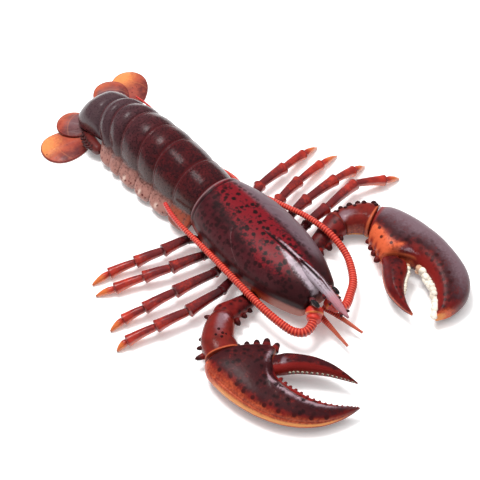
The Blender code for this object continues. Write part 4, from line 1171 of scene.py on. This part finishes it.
def molars_on(stations, first, last, count, radius, rows):
    """Lumps along the inner edge in rows of height: ellipsoids whose size varies with a sine."""
    table = np.array(stations, float)
    numbers = np.arange(len(table))
    lumps = []
    for index, place in enumerate(np.linspace(first, last, count)):
        row = np.array([np.interp(place, numbers, table[:, column]) for column in range(6)])
        outer, inner = row[[0, 1, 4]], row[[2, 3, 4]]
        across = (inner - outer) / np.linalg.norm(inner - outer)
        size = radius * (1 + 0.18 * math.sin(3.1 * index) - 0.35 * index / count)
        for level, out in rows:
            waves = (math.sin(7.7 * index + level), math.cos(4.9 * index), math.sin(2.3 * index))
            stray = 0.25 * size * np.array(waves)
            centre = inner + across * size * out + np.array([0, 0, level * size]) + stray
            wobble = size * (1 + 0.2 * math.sin(5.3 * index + 3 * level))
            lumps.append(bead(centre, (wobble, wobble * 1.1, wobble * 0.9), 16, 11, root=0.7 * (index < 1)))
    return lumps


def gum_on(stations, first, last, radius):
    """The strip that the lumps grow from: a tube along the inner edge, its radius wavy by two sines."""
    place = np.linspace(first, last, 80)
    table = np.array(stations, float)
    row = np.stack([np.interp(place, np.arange(len(table)), column) for column in table.T], -1)
    outer, inner = row[:, [0, 1, 4]], row[:, [2, 3, 4]]
    across = (inner - outer) / np.linalg.norm(inner - outer, axis=1, keepdims=True)
    share = np.linspace(0, 1, len(place))
    waves = 1 + 0.14 * np.sin(47 * share) + 0.1 * np.sin(83 * share)
    size = radius * waves * np.sqrt(np.clip(1.02 - (2 * share - 1) ** 8, 0, 1))
    middle = inner + 0.35 * radius * across
    return skin(tube(middle, size, size * 1.1, 24), root=0.9 * ramp(share, 0.05, 0.0)[:, None])


molars = [gum_on(CRUSHER, 6.6, 12.9, 1.9)]
molars += molars_on(CRUSHER, 6.9, 12.7, 21, 1.75, PALM_MOLAR_ROWS)
piece("crusher_palm_molars", molars, enamel, "maroon_vinyl_claws", "claw_crusher")
finger_molars = [gum_on(CRUSHER_FINGER, 2.2, 5.2, 1.0)]
finger_molars += molars_on(CRUSHER_FINGER, 2.3, 5.0, 10, 1.15, FINGER_MOLAR_ROWS)
piece("crusher_finger_molars", finger_molars, enamel, "maroon_vinyl_claws", "claw_crusher_finger")

# Antennae: two long feelers cast over wire, ringed like a hose every millimetre and a half, coral red with
# each ring's crest paler, coming out of a red cup. The short antennules lie under the rostrum.
ANTENNA_RIGHT = (
    (-8.8, -67.6, 14.0), (-12.6, -71.2, 12.0), (-16.8, -73.6, 11.4), (-20.8, -74.0, 11.2),
    (-24.0, -72.0, 11.4), (-26.2, -67.6, 11.8), (-27.8, -56.4, 12.8), (-27.9, -42.4, 13.6),
    (-27.3, -27.2, 14.2), (-26.4, -11.0, 14.4), (-25.6, 3.0, 14.2), (-24.9, 18.0, 14.0),
    (-23.6, 27.6, 14.0), (-21.4, 35.6, 14.0),
)
ANTENNA_LEFT = (
    (0.8, -67.6, 14.0), (1.0, -72.0, 13.2), (3.0, -75.0, 12.4), (6.4, -74.6, 11.8),
    (11.6, -71.4, 11.4), (19.4, -65.6, 11.2), (26.5, -55.2, 11.8), (29.6, -45.0, 13.2),
    (29.6, -33.7, 15.6), (28.4, -19.6, 15.2), (25.6, -7.2, 14.2), (23.7, 2.0, 13.0),
    (21.9, 9.0, 12.0), (20.3, 16.0, 11.2), (20.0, 22.0, 10.2), (22.6, 30.0, 7.4),
    (24.6, 38.0, 4.0), (25.0, 46.0, 1.6), (25.0, 60.0, 1.3), (24.4, 76.0, 1.3),
    (23.2, 90.0, 2.2), (23.4, 101.0, 4.6), (23.8, 110.0, 5.0), (23.0, 119.0, 5.0),
)
ANTENNULES = {
    "antennule_right": ((-5.5, -65.6, 6.6), (-6.4, -77.0, 6.2), (-7.9, -91.0, 5.8)),
    "antennule_left": ((-0.4, -65.6, 6.6), (1.0, -74.0, 6.4), (3.4, -89.8, 5.8)),
}
RING_PITCH = 1.5
# The cup at the base of each antenna: distance along it, radius.
CUP = ((0.0, 4.0), (1.4, 4.6), (3.0, 4.7), (3.6, 4.3), (4.4, 3.7), (6.2, 3.8), (7.0, 3.3), (7.8, 0.0))


def feeler(points, base_radius, end_radius, pitch, sides=20, cup=None, sandy=0.0):
    """Rings along a smooth route; each swells by a cosine to a sharp crest once every pitch."""
    fine = through(points, 40 * len(points))
    travelled = np.concatenate([[0], np.cumsum(np.linalg.norm(np.diff(fine, axis=0), axis=1))])
    steps = np.linspace(0, travelled[-1], int(travelled[-1] / pitch * 7))
    route = np.stack([np.interp(steps, travelled, fine[:, axis]) for axis in range(3)], -1)
    share = steps / travelled[-1]
    crest = (0.5 + 0.5 * np.cos(2 * math.pi * steps / pitch)) ** 1.5
    radius = base_radius + (end_radius - base_radius) * share**0.6
    radius = radius * (0.9 + 0.13 * crest)
    stem = np.zeros_like(steps)
    if cup:
        stem = np.interp(steps, *np.array(cup).T, right=0.0)
    inside = stem > radius
    radius = np.maximum(radius, stem)
    crest, inside = np.where(inside, 0, crest)[:, None], inside[:, None] * 1.0
    grid = tube(route, radius, radius, sides)
    share = share[:, None]
    masks = {
        "crest": crest,
        "cup": inside,
        "lip": hump(steps, 3.1, 0.5)[:, None] * inside,
        "thin": ramp(share, 0.75, 1.0),
        "sandy": sandy * ramp(share, 0.1, 0.7),
    }
    return skin(grid, **masks)


antenna_vinyl = painted_vinyl(
    "painted_vinyl_coral_antennae",
    "a81e18",
    "8c1614",
    (
        ("crest", "e05a44", 0.3, 0.8),
        ("cup", "cc382c", 0.8, 0.9),
        ("lip", "d9783c", 0.3, 0.9),
        ("thin", "b0282a", 0.3, 0.6),
        ("sandy", "b0583c", 0.8, 0.8),
    ),
    roughness=0.42,
    coat=0.5,
    pebble=0.3,
)
for side, points, end_radius in (("right", ANTENNA_RIGHT, 1.3), ("left", ANTENNA_LEFT, 0.6)):
    piece(f"antenna_{side}_feeler", [feeler(points, 2.8, end_radius, RING_PITCH, cup=CUP)], antenna_vinyl,
          "coral_vinyl_antennae", f"antenna_{side}")
for node, points in ANTENNULES.items():
    piece(f"{node}_feeler", [feeler(points, 2.3, 0.7, 1.1, sandy=0.8)], antenna_vinyl,
          "coral_vinyl_antennae", node)

# The table, the lights and the camera. A flat white table runs past the edges of the picture. The key hangs
# over the tail as two lamps, a large one that lights only matt colour and a small one that shows only in
# the gloss. Wide fill from above keeps the shadows faint.
# The camera looks at TARGET on the table, from this far, turned and raised by these angles.
TARGET = np.array([0.00016907 - 0.0004908, -0.01087703, 0.0])
CAMERA_DISTANCE = 0.7608
CAMERA_TURN = math.radians(-40.4)
CAMERA_RISE = math.radians(48.6)
KEY_DIRECTION = (-0.04, 0.29, 0.96)

mesh = bpy.data.meshes.new("table_top")
mesh.from_pydata([(-3, -3, 0), (3, -3, 0), (3, 3, 0), (-3, 3, 0)], [], [(0, 1, 2, 3)])
table_top = bpy.data.objects.new("table_top", mesh)
bpy.context.scene.collection.objects.link(table_top)
white = bpy.data.materials.new("matt_white_board")
white.use_nodes = True
white.node_tree.nodes["Principled BSDF"].inputs["Base Color"].default_value = linear("f6f6f6")
white.node_tree.nodes["Principled BSDF"].inputs["Roughness"].default_value = 0.9
white.node_tree.nodes["Principled BSDF"].inputs["Emission Color"].default_value = (1.0, 1.0, 1.0, 1.0)
white.node_tree.nodes["Principled BSDF"].inputs["Emission Strength"].default_value = 0.2
mesh.materials.append(white)

room = bpy.data.worlds.new("white_room")
bpy.context.scene.world = room
room.use_nodes = True
room.node_tree.nodes["Background"].inputs["Color"].default_value = (1.0, 1.0, 1.0, 1.0)
room.node_tree.nodes["Background"].inputs["Strength"].default_value = 0.27


def softbox(name, direction, distance, size, watts, in_gloss, in_matt=True):
    """A round area light that faces the origin from the given direction."""
    light = bpy.data.lights.new(name, "AREA")
    light.shape = "DISK"
    light.size = size
    light.energy = watts
    lamp = bpy.data.objects.new(name, light)
    bpy.context.scene.collection.objects.link(lamp)
    direction = np.array(direction, float) / np.linalg.norm(direction)
    lamp.location = direction * distance
    lamp.rotation_euler = (math.acos(direction[2]), 0, math.atan2(direction[1], direction[0]) + math.pi / 2)
    lamp.visible_glossy = in_gloss
    lamp.visible_diffuse = in_matt


softbox("key_softbox", KEY_DIRECTION, 0.9, 0.36, 7.6, in_gloss=False)
softbox("small_bright_disk", KEY_DIRECTION, 0.9, 0.18, 2.6, in_gloss=True, in_matt=False)
softbox("overhead_fill", (0.1, 0.1, 1.0), 1.2, 1.6, 14.0, in_gloss=False)

bpy.context.scene.view_settings.view_transform = "Standard"
camera = bpy.data.objects.new("camera", bpy.data.cameras.new("camera"))
bpy.context.scene.collection.objects.link(camera)
camera.data.lens = 108.0
camera.data.sensor_width = 36.0
camera.data.sensor_fit = "HORIZONTAL"
level = math.cos(CAMERA_RISE)
back = (math.sin(CAMERA_TURN) * level, -math.cos(CAMERA_TURN) * level, math.sin(CAMERA_RISE))
camera.location = TARGET + np.array(back) * CAMERA_DISTANCE
camera.rotation_euler = (math.pi / 2 - CAMERA_RISE, 0.0, CAMERA_TURN)
bpy.context.scene.camera = camera
